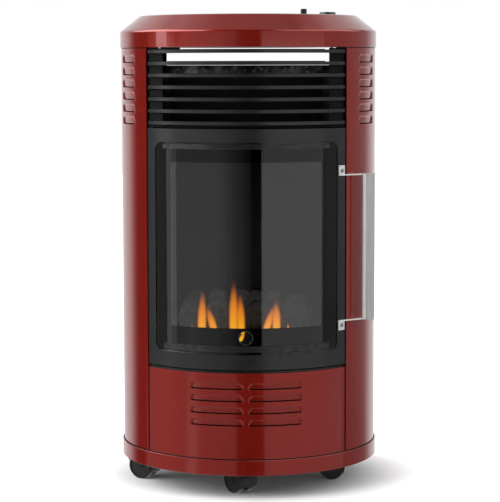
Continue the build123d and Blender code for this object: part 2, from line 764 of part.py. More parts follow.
with BuildPart() as thermocouple:
    add(tube([(knob_x, console_y - valve_radius, valve_low + 2.5), (knob_x, drop_y + 10, valve_low + 2.5),
              (*sensor_drop, valve_low - 4), (*sensor_drop, sensor_run), (pilot_pitch, pilot_y, sensor_run),
              (pilot_pitch, pilot_y, pilot_height - 6)], 1.0, 4.5))
    with BuildSketch(Plane.XY.offset(pilot_height - 6)):
        with Locations((pilot_pitch, pilot_y)):
            Circle(2.6)
    extrude(amount=12)
finish(thermocouple.part, "thermocouple")

electrode_foot = bracket_level - 6.0
with BuildPart() as spark_electrode:
    with BuildSketch(Plane.XY.offset(electrode_foot)):
        with Locations((-pilot_pitch, pilot_y)):
            Circle(2.6)
    extrude(amount=pilot_height - electrode_foot)
    with BuildSketch(Plane.XY.offset(pilot_height)):
        with Locations((-pilot_pitch, pilot_y)):
            Circle(1.0)
    extrude(amount=8)
finish(spark_electrode.part, "spark_electrode")

# === gas controls =============================================================================
plug_radius = 4.0
shaft_radius = 2.5
boss_radius = 6.0
neck_top = console_floor + plate_thick
bracket_thick = 2.5
bracket_width = 44.0
bracket_depth = 34.0
hanger_x = console_half_x + 4.0
hanger_thick = 3.0
hanger_depth = 24.0
with BuildPart() as gas_brackets:
    with BuildSketch(Plane.XY.offset(console_floor - bracket_thick)):
        with Locations(valve):
            RectangleRounded(bracket_width, bracket_depth, 4)
            Circle(neck_radius, mode=Mode.SUBTRACT)
    extrude(amount=bracket_thick)
    with BuildSketch(Plane.XY.offset(neck_top)):
        with Locations((console_x - hanger_x, console_y), (console_x + hanger_x, console_y)):
            Rectangle(hanger_thick, hanger_depth)
    extrude(amount=cap_under - neck_top)
    with BuildSketch(Plane.XZ.offset(6 - inlet_y)):
        with Locations((inlet_x, boss_level - 6)):
            Rectangle(16, cap_under - boss_level + 6, align=(Align.CENTER, Align.MIN))
        with Locations((inlet_x, boss_level)):
            Circle(pipe_radius, mode=Mode.SUBTRACT)
    extrude(amount=2)
finish(gas_brackets.part, "gas_brackets")

body_top = console_floor - bracket_thick
plug_seat = valve_low + 4.0
with BuildPart() as gas_valve:
    with BuildSketch(Plane.XY.offset(valve_low)):
        with Locations(valve):
            Circle(valve_radius)
    extrude(amount=body_top - valve_low)
    with BuildSketch(Plane.XY.offset(body_top)):
        with Locations(valve):
            Circle(neck_radius)
    extrude(amount=neck_top - body_top)
    with BuildSketch(Plane.XZ.offset(-console_y)):
        with Locations((knob_x, boss_level)):
            Circle(boss_radius)
    extrude(amount=boss_end, both=True)
    with BuildSketch(Plane.YZ.offset(knob_x)):
        with Locations((console_y, boss_level)):
            Circle(boss_radius)
    extrude(amount=boss_end)
    with BuildSketch(Plane.XY.offset(plug_seat)):
        with Locations(valve):
            Circle(plug_radius + running)
    extrude(amount=neck_top - plug_seat + 1, mode=Mode.SUBTRACT)
finish(gas_valve.part, "gas_valve")

plug_foot = plug_seat + fit_gap
knob_foot = neck_top + knob_travel + fit_gap
knob_crown = 1.2           # knob over the end of its bore
bore_end = knob_top - knob_crown
shaft_end = bore_end - knob_travel - fit_gap
with BuildPart() as valve_plug:
    with BuildSketch(Plane.XY.offset(plug_foot)):
        with Locations(valve):
            Circle(plug_radius)
    extrude(amount=neck_top - plug_foot)
    with BuildSketch(Plane.XY.offset(neck_top)):
        with Locations(valve):
            Circle(shaft_radius)
    extrude(amount=shaft_end - neck_top)
finish(valve_plug.part, "valve_plug")

spring_radius = 3.4
spring_wire = 0.5
spring_foot = neck_top + spring_wire
cavity_top = knob_foot + 3.5
cavity_radius = 6.0
with BuildPart() as knob_spring:
    with BuildLine():
        coil = Helix(pitch=(cavity_top - spring_foot - spring_wire) / 4,
                     height=cavity_top - spring_foot - spring_wire, radius=spring_radius,
                     center=(knob_x, console_y, spring_foot))
    with BuildSketch(Plane(origin=coil @ 0, z_dir=coil % 0)):
        Circle(spring_wire)
    sweep(is_frenet=True)
finish(knob_spring.part, "knob_spring")

knob_bevel = 4.0
mark_width = 1.6
mark_length = 7.0
mark_depth = 0.6
with BuildPart() as control_knob:
    with BuildSketch(Plane.XY.offset(knob_foot)):
        with Locations(valve):
            Circle(knob_radius)
    extrude(amount=knob_top - knob_foot - knob_bevel)
    with BuildSketch(Plane.XY.offset(knob_top - knob_bevel)):
        with Locations(valve):
            Circle(knob_radius)
    extrude(amount=knob_bevel, taper=20)
    with BuildSketch(Plane.XY.offset(knob_foot)):
        with Locations(valve):
            Circle(cavity_radius)
    extrude(amount=cavity_top - knob_foot, mode=Mode.SUBTRACT)
    with BuildSketch(Plane.XY.offset(cavity_top - 1)):
        with Locations(valve):
            Circle(shaft_radius + running)
    extrude(amount=bore_end - cavity_top + 1, mode=Mode.SUBTRACT)
    with BuildSketch(Plane.XY.offset(knob_top)):
        with Locations((knob_x, console_y + knob_radius - 4)):
            Rectangle(mark_width, mark_length)
    extrude(amount=-mark_depth, mode=Mode.SUBTRACT)
finish(control_knob.part, "control_knob")

igniter_radius = 9.0
stem_bore = 4.0
collar_top = neck_top + 1.2
igniter_low = cap_bottom + 5.0
button_bottom = button_top - button_height
push_foot = neck_top - 8.5
with BuildPart() as igniter_body:
    with BuildSketch(Plane.XY.offset(igniter_low)):
        with Locations((button_x, console_y)):
            Circle(igniter_radius)
    extrude(amount=console_floor - igniter_low)
    with BuildSketch(Plane.XY.offset(console_floor)):
        with Locations((button_x, console_y)):
            Circle(collar_radius)
    extrude(amount=collar_top - console_floor)
    with BuildSketch(Plane.XY.offset(neck_top)):
        with Locations((button_x, console_y)):
            RegularPolygon(igniter_radius + 0.5, 6)
    extrude(amount=collar_top - neck_top)
    well = push_foot - button_travel - 2
    with BuildSketch(Plane.XY.offset(well)):
        with Locations((button_x, console_y)):
            Circle(stem_bore + running)
    extrude(amount=collar_top - well + 1, mode=Mode.SUBTRACT)
finish(igniter_body.part, "igniter_body")

with BuildPart() as ignition_button:
    with BuildSketch(Plane.XY.offset(push_foot)):
        with Locations((button_x, console_y)):
            Circle(stem_bore)
    extrude(amount=button_bottom - push_foot)
    with BuildSketch(Plane.XY.offset(button_bottom)):
        with Locations((button_x, console_y)):
            Circle(button_radius)
    extrude(amount=button_height)
    fillet(ignition_button.edges().group_by(Axis.Z)[-1], 1.2)
finish(ignition_button.part, "ignition_button")

lead_level = igniter_low + 3.0
with BuildPart() as ignition_lead:
    add(tube([(button_x, console_y - igniter_radius, lead_level), (button_x, drop_y, lead_level),
              (*lead_drop, lead_level), (*lead_drop, lead_run), (-pilot_pitch, pilot_y, lead_run),
              (-pilot_pitch, pilot_y, electrode_foot)], lead_radius, 6))
finish(ignition_lead.part, "ignition_lead")

with BuildPart() as burner_pipe:
    add(tube([(knob_x + boss_end, console_y, boss_level), (burner_drop[0], console_y, boss_level),
              (*burner_drop, boss_level - 12), (*burner_drop, burner_run),
              (injector_x, injector_y, burner_run), (injector_x, injector_y, injector_foot)],
             pipe_radius, 7))
finish(burner_pipe.part, "burner_pipe")

with BuildPart() as pilot_pipe:
    add(tube([(knob_x, console_y - boss_end, boss_level), (knob_x, drop_y + 7, boss_level),
              (*pilot_drop, boss_level - 9), (*pilot_drop, pilot_run), (0, pilot_y, pilot_run),
              (0, pilot_y, bracket_level - 12)], pilot_pipe_radius, 5.0))
finish(pilot_pipe.part, "pilot_pipe")

nozzle_length = 30.0
nozzle_radius = 4.0
inlet_turn = 50.0
with BuildPart() as inlet_pipe:
    add(tube([(knob_x, console_y + boss_end, boss_level), (knob_x, console_y + inlet_turn, boss_level),
              (inlet_x, 0, boss_level), (inlet_x, inlet_y, boss_level)], pipe_radius, 20))
finish(inlet_pipe.part, "inlet_pipe")

with BuildPart() as gas_inlet:
    with BuildSketch(Plane.XZ.offset(-inlet_y)):
        with Locations((inlet_x, boss_level)):
            RegularPolygon(8, 6)
    extrude(amount=-8)
    with BuildSketch(Plane.XZ.offset(-inlet_y - 8)):
        with Locations((inlet_x, boss_level)):
            Circle(nozzle_radius)
    extrude(amount=-nozzle_length)
finish(gas_inlet.part, "gas_inlet")

# === front door ===============================================================================
glass_gap = 0.8
edge_margin = degrees(sheet / body_radius)
pocket = glass_half + glass_gap
with BuildPart() as door_frame:
    add(curved_wall(body_radius, door_back, -front_edge, front_edge, door_bottom, door_top))
    add(curved_wall(body_radius - door_face, door_back - 2, -front_edge + edge_margin,
                    front_edge - edge_margin, door_bottom + sheet, door_top - sheet), mode=Mode.SUBTRACT)
    add(curved_pane(body_radius - 0.5, rebate_radius - sheet, pocket + 1.0, glass_bottom - glass_gap - sheet,
                    glass_top + glass_gap + sheet, glass_corner + glass_gap + sheet))
    add(curved_pane(body_radius + 2, rebate_radius, pocket, glass_bottom - glass_gap,
                    glass_top + glass_gap, glass_corner + glass_gap), mode=Mode.SUBTRACT)
    add(curved_pane(body_radius + 2, door_back - 3, ledge_half, glass_bottom + rebate_width,
                    glass_top - rebate_width, glass_corner), mode=Mode.SUBTRACT)
    with BuildSketch(Plane.XY.offset(door_bottom - 1)):
        with Locations(pivot):
            Circle(pivot_pin + running + bush_wall)
    extrude(amount=door_top - door_bottom + 2, mode=Mode.SUBTRACT)
finish(door_frame.part, "door_frame")

with BuildPart() as door_glass:
    add(curved_pane(glass_outer, glass_inner, glass_half, glass_bottom, glass_top, glass_corner))
finish(door_glass.part, "door_glass")

strip_half = glass_half - 12.9
strip_thick = 0.8
with BuildPart() as glass_clamps:
    add(curved_pane(glass_outer + strip_thick, glass_outer, strip_half, glass_top - 10.0, glass_top - 1.8, 1.0))
    add(curved_pane(glass_outer + strip_thick, glass_outer, strip_half, glass_bottom + 3.6,
                    glass_bottom + 13.8, 1.0))
finish(glass_clamps.part, "glass_clamps")

seal_outer = rebate_radius - sheet - 0.05
seal_inner = firebox_flange + fit_gap
seal_half = ledge_half + 1.2
seal_low = glass_bottom + rebate_width - 1.2
seal_high = glass_top - rebate_width + 1.2
with BuildPart() as door_seal:
    add(curved_pane(seal_outer, seal_inner, seal_half + seal_size, seal_low - seal_size,
                    seal_high + seal_size, glass_corner + 1.2 + seal_size))
    add(curved_pane(seal_outer + 1, seal_inner - 1, seal_half, seal_low, seal_high, glass_corner + 1.2),
        mode=Mode.SUBTRACT)
finish(door_seal.part, "door_seal")

bush_height = 3.0
with BuildPart() as door_bushes:
    with BuildSketch(Plane.XY.offset(door_bottom)):
        with Locations(pivot):
            Circle(pivot_pin + running + bush_wall)
            Circle(pivot_pin + running, mode=Mode.SUBTRACT)
    extrude(amount=bush_height)
    with BuildSketch(Plane.XY.offset(door_top - bush_height)):
        with Locations(pivot):
            Circle(pivot_pin + running + bush_wall)
            Circle(pivot_pin + running, mode=Mode.SUBTRACT)
    extrude(amount=bush_height)
finish(door_bushes.part, "door_bushes")

pin_reach = 9.0
# === door handle ==============================================================================
grip_left = handle_x - handle_width / 2
grip_right = handle_x + handle_width / 2
grip_face = handle_y - 1.0
tab_start = 44.2
tab_end = tab_start + degrees(tab_width / body_radius) + 0.6
arm_root = body_radius + strip_thick
with BuildPart() as door_handle:
    with BuildSketch(Plane.XY.offset(handle_bottom)):
        with Locations((grip_left + handle_roll, grip_face + handle_roll)):
            Circle(handle_roll)
        with Locations((grip_left + handle_roll, grip_face + handle_roll)):
            Rectangle(handle_width - handle_roll, handle_sheet, align=(Align.MIN, Align.CENTER))
        with Locations((grip_right, grip_face + handle_roll - handle_sheet / 2)):
            Rectangle(handle_sheet, 10, align=(Align.MAX, Align.MIN))
    extrude(amount=handle_top - handle_bottom)
    for level in (handle_bottom, handle_top - handle_sheet):
        with BuildSketch(Plane.XY.offset(level)):
            with BuildLine():
                Polyline(at(arm_root, tab_start), at(arm_root, tab_end),
                         (grip_left + 4, grip_face + 13), (grip_right, grip_face + 13),
                         (grip_right, grip_face + 1.5), (grip_left + 1, grip_face + 1.5), close=True)
            make_face()
            Circle(body_radius + 0.3, mode=Mode.SUBTRACT)
        extrude(amount=handle_sheet)
    tab_levels = (handle_top - handle_sheet, handle_bottom + handle_sheet - tab_height)
    for level in tab_levels:
        add(curved_wall(body_radius + 1.2, body_radius, tab_start, tab_end, level, level + tab_height))
finish(door_handle.part, "door_handle")

tab_middle = (tab_start + tab_end) / 2
with BuildPart() as handle_screws:
    for level in tab_levels:
        with BuildSketch(facing_plane(body_radius + 1.2, tab_middle, level + tab_height / 2)):
            Circle(screw_head)
        extrude(amount=1.2)
        fillet(handle_screws.faces().sort_by(SortBy.AREA)[-1].edges(), 0.1)
finish(handle_screws.part, "handle_screws")

# === rear door ================================================================================
rear_start = rear_edge + front_gap
rear_pivot_azimuth = -(rear_start + pivot_inset)
rear_pivot = at(pivot_radius, rear_pivot_azimuth)
rear_bottom = panel_bottom + 1.0
rear_lip = 12.0
rear_half = 180.0 - rear_start
with BuildPart() as rear_shell:
    add(curved_wall(body_radius, inner_radius, -rear_half, rear_half, rear_bottom, rear_door_top))
    for level in (rear_bottom, rear_door_top - sheet):
        add(curved_wall(inner_radius + 0.5, inner_radius - rear_lip, -rear_half, rear_half, level, level + sheet))
    for first in (rear_bottom + rear_louvre_low, rear_door_top - rear_louvre_high):
        for row in range(rear_louvre_rows):
            with Locations((0, 0, first + rear_louvre_pitch * row)):
                add(louvre_window, mode=Mode.SUBTRACT)
                add(louvre_hood)

with BuildPart() as rear_door:
    add(rear_shell.part.rotate(Axis.Z, 180))
    with BuildSketch(Plane.XY.offset(rear_bottom - 1)):
        with Locations(rear_pivot):
            Circle(pivot_pin + running)
    extrude(amount=rear_door_top - rear_bottom + 2, mode=Mode.SUBTRACT)
finish(rear_door.part, "rear_door")

pull_azimuth = rear_start + 9.0
pull_level = 400.0
pull_height = 60.0
with BuildPart() as rear_pull:
    add(curved_wall(ring_radius - 1.5, ring_radius - 2.7, pull_azimuth - 2, pull_azimuth + 2, pull_level,
                    pull_level + pull_height))
    add(curved_wall(ring_radius - 2, body_radius, pull_azimuth + 1.4, pull_azimuth + 2, pull_level,
                    pull_level + pull_height))
finish(rear_pull.part, "rear_pull")

hinge_level = rear_door_top + 1.5
hinge_thick = 2.0
with BuildPart() as hinge_pins:
    with BuildSketch(Plane.XY.offset(rail_bottom)):
        with Locations(pivot):
            Circle(pivot_pin)
    extrude(amount=door_bottom - rail_bottom + pin_reach)
    with BuildSketch(Plane.XY.offset(grille_bottom + grille_sheet)):
        with Locations(pivot):
            Circle(pivot_pin)
    extrude(amount=door_top - pin_reach - grille_bottom - grille_sheet)
    add(curved_wall(pivot_radius + 4, pivot_radius - 8, -rear_start - 3, -rear_post_end, hinge_level,
                    hinge_level + hinge_thick))
    with BuildSketch(Plane.XY.offset(hinge_level)):
        with Locations(rear_pivot):
            Circle(pivot_pin)
    extrude(amount=-pin_reach)
    with BuildSketch(Plane.XY.offset(floor_top)):
        with Locations(rear_pivot):
            Circle(pivot_pin + 2.5)
    extrude(amount=rear_bottom - floor_top - 0.5)
    with BuildSketch(Plane.XY.offset(floor_top)):
        with Locations(rear_pivot):
            Circle(pivot_pin)
    extrude(amount=rear_bottom - floor_top + pin_reach)
finish(hinge_pins.part, "hinge_pins")

magnet_level = 410.0
magnet_height = 40.0
magnet_depth = 8.0
with BuildPart() as door_magnets:
    add(curved_wall(door_back - fit_gap, door_back - fit_gap - magnet_depth, front_edge - 1, post_start,
                    magnet_level, magnet_level + magnet_height))
    add(curved_wall(inner_radius - fit_gap, inner_radius - fit_gap - magnet_depth, rear_post_end,
                    rear_start + 3, magnet_level, magnet_level + magnet_height))
finish(door_magnets.part, "door_magnets")

# === casters ==================================================================================
axle_height = wheel_radius
tread_gap = 0.6
hood_sheet = 1.4
hood_inner = wheel_radius + tread_gap
hood_outer = hood_inner + hood_sheet
half_track = wheel_web / 2 + 0.4 + wheel_width
hood_top = floor_under - 10.0
hood_start = 20.0
hood_end = 205.0
tread_round = 2.5


def caster_housing():
    """Hood, centre web, stem and axle of a caster, with the stem on the vertical axis."""
    with BuildPart() as housing:
        with BuildSketch(Plane.XZ.offset(-half_track)):
            with Locations((caster_trail, axle_height)):
                Circle(hood_outer)
                Circle(hood_inner, mode=Mode.SUBTRACT)
            with BuildLine():
                Polyline((caster_trail, axle_height),
                         (caster_trail + 60 * cos(radians(hood_start)), axle_height + 60 * sin(radians(hood_start))),
                         (caster_trail, axle_height + 90), (caster_trail - 90, axle_height + 60),
                         (caster_trail + 60 * cos(radians(hood_end)), axle_height + 60 * sin(radians(hood_end))),
                         close=True)
            make_face(mode=Mode.INTERSECT)
        extrude(amount=2 * half_track)
        with BuildSketch(Plane.XZ.offset(-wheel_web / 2)):
            with Locations((caster_trail, axle_height)):
                Circle(hood_inner + 0.4)
            with BuildLine():
                Polyline((caster_trail + 13, axle_height - 5), (caster_trail + 30, axle_height + 12),
                         (caster_trail + 30, axle_height + 60), (caster_trail - 60, axle_height + 60),
                         (caster_trail - 60, axle_height - 14), (caster_trail, axle_height - 12), close=True)
            make_face(mode=Mode.INTERSECT)
        extrude(amount=wheel_web)
        with BuildSketch(Plane.XY.offset(hood_top - 22)):
            Circle(stem_radius)
        extrude(amount=floor_under + floor_sheet + 3 - hood_top + 22)
        with BuildSketch(Plane.XZ.offset(-half_track - 0.6)):
            with Locations((caster_trail, axle_height)):
                Circle(axle_radius)
        extrude(amount=2 * half_track + 1.2)
    return housing.part


def caster_wheels():
    """The two wheels of a caster, each with a stepped outer face."""
    with BuildPart() as wheels:
        for side in (-1, 1):
            inner_face = side * (wheel_web / 2 + 0.4)
            with BuildSketch(Plane.XZ.offset(inner_face)):
                with Locations((caster_trail, axle_height)):
                    Circle(wheel_radius)
                    Circle(axle_radius + running, mode=Mode.SUBTRACT)
            extrude(amount=side * wheel_width)
        rims = wheels.edges().filter_by(GeomType.CIRCLE)
        fillet(rims.filter_by(lambda e: e.radius > wheel_radius - 0.1), tread_round)
        for side in (-1, 1):
            with BuildSketch(Plane.XZ.offset(side * (wheel_web / 2 + 0.4 + wheel_width))):
                with Locations((caster_trail, axle_height)):
                    Circle(wheel_radius - 4)
                    Circle(axle_radius + 3, mode=Mode.SUBTRACT)
            extrude(amount=-side * 1.2, mode=Mode.SUBTRACT)
    return wheels.part


housing = caster_housing()
wheels = caster_wheels()
caster_azimuths = [index * 360 / caster_count for index in range(caster_count)]
for index, (azimuth, heading) in enumerate(zip(caster_azimuths, caster_headings)):
    place = Location((*at(caster_circle, azimuth), 0), (0, 0, heading))
    finish(place * housing, f"caster_{index + 1}_hood")
    finish(place * wheels, f"caster_{index + 1}_wheels")

socket_wall = 3.5
with BuildPart() as caster_sockets:
    with BuildSketch(Plane.XY.offset(hood_top + fit_gap + 0.4)):
        with Locations(*[at(caster_circle, azimuth) for azimuth in caster_azimuths]):
            Circle(stem_radius + socket_wall)
            Circle(stem_radius + running, mode=Mode.SUBTRACT)
    extrude(amount=floor_under - hood_top - fit_gap - 0.4)
finish(caster_sockets.part, "caster_sockets")

# === fasteners ================================================================================
head_height = 1.6


def screws_at(places, length):
    """Group of like screws, from (radius, azimuth, height) places."""
    with BuildPart() as group:
        for radius, azimuth, height in places:
            with BuildSketch(facing_plane(radius, azimuth, height)):
                Circle(screw_head)
            extrude(amount=head_height)
            with BuildSketch(facing_plane(radius, azimuth, height)):
                Circle(screw_radius)
            extrude(amount=-length)
    return group.part


with BuildPart() as panel_screws:
    add(screws_at(screw_places, 6.0))
finish(panel_screws.part, "panel_screws")
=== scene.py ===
# %% [markdown]
# # A round cabinet gas heater, dressed in Blender
#
# The solids of this heater come from a CAD program, and they arrive here as a fixed frame. This
# lesson gives every surface its finish, adds what a CAD model leaves out, such as coals, flames and
# screw heads, and sets up a small studio to look at the result. All lengths are in metres, the
# heater stands on z = 0, and its front faces -Y.

# %% Load the frame
import bmesh
import bpy
import json
import math
from mathutils import Matrix, Vector


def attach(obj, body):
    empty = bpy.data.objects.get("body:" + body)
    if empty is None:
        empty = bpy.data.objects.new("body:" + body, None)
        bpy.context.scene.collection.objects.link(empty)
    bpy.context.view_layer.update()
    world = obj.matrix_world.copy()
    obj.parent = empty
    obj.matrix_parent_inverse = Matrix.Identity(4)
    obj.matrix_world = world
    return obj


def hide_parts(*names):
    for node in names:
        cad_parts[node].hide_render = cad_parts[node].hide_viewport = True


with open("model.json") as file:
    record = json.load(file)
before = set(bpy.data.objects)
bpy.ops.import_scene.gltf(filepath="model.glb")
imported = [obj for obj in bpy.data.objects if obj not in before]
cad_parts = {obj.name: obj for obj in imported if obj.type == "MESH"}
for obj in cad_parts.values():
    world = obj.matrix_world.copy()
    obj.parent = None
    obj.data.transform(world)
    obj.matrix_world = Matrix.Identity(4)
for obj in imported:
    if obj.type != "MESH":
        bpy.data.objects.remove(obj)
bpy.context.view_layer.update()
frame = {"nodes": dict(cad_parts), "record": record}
nodes = frame["nodes"]

# %% [markdown]
# ## The camera
#
# A long lens from three metres away keeps the upright sides of the cabinet almost parallel, which is
# how such appliances are usually shown. The lens is chosen so that the heater fills the frame from
# cap to caster. The camera is turned a little more than one degree to the left of straight ahead.

# %% Camera
turned = math.radians(1.35)
pan, tilt, roll = -0.0007, -0.0989, -0.0021    # small corrections, in radians
camera_data = bpy.data.cameras.new("studio_camera")
camera_data.lens = 134.29
camera_data.sensor_width = 36.0
camera_data.clip_start = 0.05
camera_data.clip_end = 60.0
camera = bpy.data.objects.new("studio_camera", camera_data)
bpy.context.scene.collection.objects.link(camera)
aim = (Matrix.Rotation(turned + pan, 4, "Z")
       @ Matrix.Rotation(math.radians(90.0) + tilt, 4, "X")
       @ Matrix.Rotation(roll, 4, "Z"))
camera.matrix_world = Matrix.Translation((0.0765, -3.2443, 0.712)) @ aim
bpy.context.scene.camera = camera
print("camera at", [round(v, 3) for v in camera.location])

# %% [markdown]
# ## The studio
#
# Gloss enamel shows the room more than it shows itself: two large soft panels left and right, a dark
# gap between them where the camera stands, and the white wall behind at the very edges. Instead of
# building that room from lamps and cards, the world shader describes it by direction. One node group,
# `soft_panel`, lights a patch of sky between two compass angles and two heights, with soft edges.
# Past the heater, the camera sees plain white, also where it looks through the glass.

# %% Add a node
scene = bpy.context.scene
scene.view_settings.view_transform = "Standard"


def add_node(tree, kind, **settings):
    """A node of that kind, with its properties set by name."""
    node = tree.nodes.new(kind)
    for key, value in settings.items():
        setattr(node, key, value)
    return node


# %% Calculate with sockets
def maths(tree, operation, first, second=None, third=None, clamp=False):
    """A Math node. Its operands are numbers or sockets, and its result socket is returned."""
    node = add_node(tree, "ShaderNodeMath", operation=operation, use_clamp=clamp)
    for place, value in enumerate((first, second, third)):
        if value is None:
            continue
        if isinstance(value, (int, float)):
            node.inputs[place].default_value = value
        else:
            tree.links.new(value, node.inputs[place])
    return node.outputs[0]


def remap(tree, value, low, high, out_low=0.0, out_high=1.0, smooth=True):
    """Value from low..high to out_low..out_high, clamped."""
    node = add_node(tree, "ShaderNodeMapRange",
                    interpolation_type="SMOOTHSTEP" if smooth else "LINEAR")
    for socket, number in zip(("From Min", "From Max", "To Min", "To Max"),
                              (low, high, out_low, out_high)):
        if isinstance(number, (int, float)):
            node.inputs[socket].default_value = number
        else:
            tree.links.new(number, node.inputs[socket])
    tree.links.new(value, node.inputs["Value"])
    return node.outputs["Result"]


# %% Start a node group
def new_group(name, inputs, outputs):
    """An empty shader node group with named sockets: inputs are (name, kind, default)."""
    tree = bpy.data.node_groups.new(name, "ShaderNodeTree")
    for label, kind, default in inputs:
        socket = tree.interface.new_socket(label, in_out="INPUT", socket_type="NodeSocket" + kind)
        if default is not None:
            socket.default_value = default
    for label, kind in outputs:
        tree.interface.new_socket(label, in_out="OUTPUT", socket_type="NodeSocket" + kind)
    return tree, add_node(tree, "NodeGroupInput"), add_node(tree, "NodeGroupOutput")


# %% The soft panel group
panel_group, given, result = new_group(
    "soft_panel",
    [("Azimuth", "Float", 0.0), ("Height", "Float", 0.0),
     ("From", "Float", 10.0), ("To", "Float", 60.0),
     ("Low", "Float", -30.0), ("High", "Float", 30.0),
     ("Edge", "Float", 3.0), ("Level", "Float", 1.0)],
    [("Light", "Float")])


def rising(value, limit, width):
    """0 before the limit and 1 after it, over the given width, inside the panel group."""
    start = maths(panel_group, "SUBTRACT", limit, width)
    end = maths(panel_group, "ADD", limit, width)
    return remap(panel_group, value, start, end)


edge = given.outputs["Edge"]
after_from = rising(given.outputs["Azimuth"], given.outputs["From"], edge)
after_to = rising(given.outputs["Azimuth"], given.outputs["To"], edge)
above_low = rising(given.outputs["Height"], given.outputs["Low"], edge)
above_high = rising(given.outputs["Height"], given.outputs["High"], edge)
across = maths(panel_group, "SUBTRACT", after_from, after_to, clamp=True)
upright = maths(panel_group, "SUBTRACT", above_low, above_high, clamp=True)
inside = maths(panel_group, "MULTIPLY", across, upright)
lit = maths(panel_group, "MULTIPLY", inside, given.outputs["Level"])
panel_group.links.new(lit, result.inputs["Light"])
print("group", panel_group.name, "has", len(panel_group.nodes), "nodes")

# %% [markdown]
# The room is then a list of such panels. Angles are in degrees: 0 looks from the heater towards the
# camera, and positive angles are to its right. The wall behind starts at about 128 degrees on the
# left and 138 on the right. Two large lights high on both sides do most of the lighting, and the
# ceiling adds a soft light from above. Together they make the shadow on the floor.

# %% World
ROOM = [
    # from, to, low, high, edge, level
    (-67.5, -25.0, -9.0, 1.0, 0.8, 0.46),     # left panel, at the height of the glass
    (-25.0, -19.0, -9.0, 1.0, 1.5, 0.40),     # its right edge, which shades off in steps
    (-19.0, -13.5, -9.0, 1.0, 1.5, 0.30),
    (-13.5, -8.0, -9.0, 1.0, 1.5, 0.20),
    (-8.0, -2.5, -9.0, 1.0, 1.5, 0.14),
    (-2.5, 3.0, -9.0, 1.0, 1.5, 0.07),
    (-98.0, -78.0, -9.0, 1.0, 1.5, 0.33),     # its outer part
    (-78.0, -72.5, -9.0, 1.0, 0.6, 1.20),     # bright seam between the two, in two steps
    (-72.5, -67.5, -9.0, 1.0, 0.6, 0.85),
    (-105.0, -10.0, -80.0, -9.0, 1.5, 0.32),  # left panel, seen by the lower cabinet
    (-56.0, -46.0, -80.0, -9.0, 4.0, 0.45),
    (-62.0, -9.0, 1.0, 10.0, 2.5, 0.45),      # left panel, above
    (-106.0, -60.0, 8.0, 12.0, 3.0, 3.0),     # key light, low edge
    (-88.0, -76.0, 0.0, 6.0, 1.2, 3.0),       # a tongue of it below, which the cap's skirt shows
    (-125.0, -40.0, 12.0, 52.0, 6.0, 4.6),    # key light, high on the left
    (13.0, 72.0, -9.0, 1.0, 0.8, 0.76),       # right panel, at the height of the glass
    (72.0, 138.0, -9.0, 1.0, 3.0, 0.34),
    (15.0, 95.0, -80.0, -9.0, 1.5, 0.44),     # right panel, seen by the lower cabinet
    (95.0, 138.0, -80.0, -9.0, 3.0, 0.22),
    (12.0, 138.0, 1.0, 12.0, 2.5, 0.48),      # right panel, above
    (30.0, 125.0, 14.0, 52.0, 6.0, 1.9),      # fill light, high on the right
    (138.0, 200.0, -80.0, 50.0, 7.0, 0.80),   # wall behind
    (-200.0, -128.0, -80.0, 50.0, 10.0, 0.80),
    (-200.0, 60.0, 50.0, 66.0, 5.0, 0.60),    # ceiling, its edge and its middle
    (60.0, 200.0, 50.0, 66.0, 5.0, 0.25),
    (136.0, 143.0, 46.0, 62.0, 2.0, 1.5),     # a narrow lamp behind, on the right
    (-200.0, 200.0, 66.0, 120.0, 5.0, 0.38),
]
world = bpy.data.worlds.new("studio_room")
scene.world = world
world.use_nodes = True
room = world.node_tree
room.nodes.clear()
where = add_node(room, "ShaderNodeTexCoord")
split = add_node(room, "ShaderNodeSeparateXYZ")
room.links.new(where.outputs["Generated"], split.inputs[0])
toward = maths(room, "MULTIPLY", split.outputs["Y"], -1.0)
azimuth = maths(room, "DEGREES", maths(room, "ARCTAN2", split.outputs["X"], toward))
height = maths(room, "DEGREES", maths(room, "ARCSINE", split.outputs["Z"]))
total = None
for row in ROOM:
    panel = add_node(room, "ShaderNodeGroup", node_tree=panel_group)
    room.links.new(azimuth, panel.inputs["Azimuth"])
    room.links.new(height, panel.inputs["Height"])
    for socket, number in zip(("From", "To", "Low", "High", "Edge", "Level"), row):
        panel.inputs[socket].default_value = number
    light = panel.outputs["Light"]
    total = light if total is None else maths(room, "ADD", total, light)
rays = add_node(room, "ShaderNodeLightPath")
behind = maths(room, "GREATER_THAN", split.outputs["Y"], 0.0)
through = maths(room, "MULTIPLY", rays.outputs["Is Transmission Ray"], behind)
seen = maths(room, "MAXIMUM", rays.outputs["Is Camera Ray"], through)
plain = add_node(room, "ShaderNodeMix", data_type="FLOAT", clamp_factor=True)
room.links.new(seen, plain.inputs[0])
room.links.new(total, plain.inputs[2])
plain.inputs[3].default_value = 1.0
glow = add_node(room, "ShaderNodeBackground")
glow.inputs["Color"].default_value = (1.0, 1.0, 1.0, 1.0)
room.links.new(plain.outputs[0], glow.inputs["Strength"])
ending = add_node(room, "ShaderNodeOutputWorld")
room.links.new(glow.outputs[0], ending.inputs["Surface"])
print("studio panels:", len(ROOM))
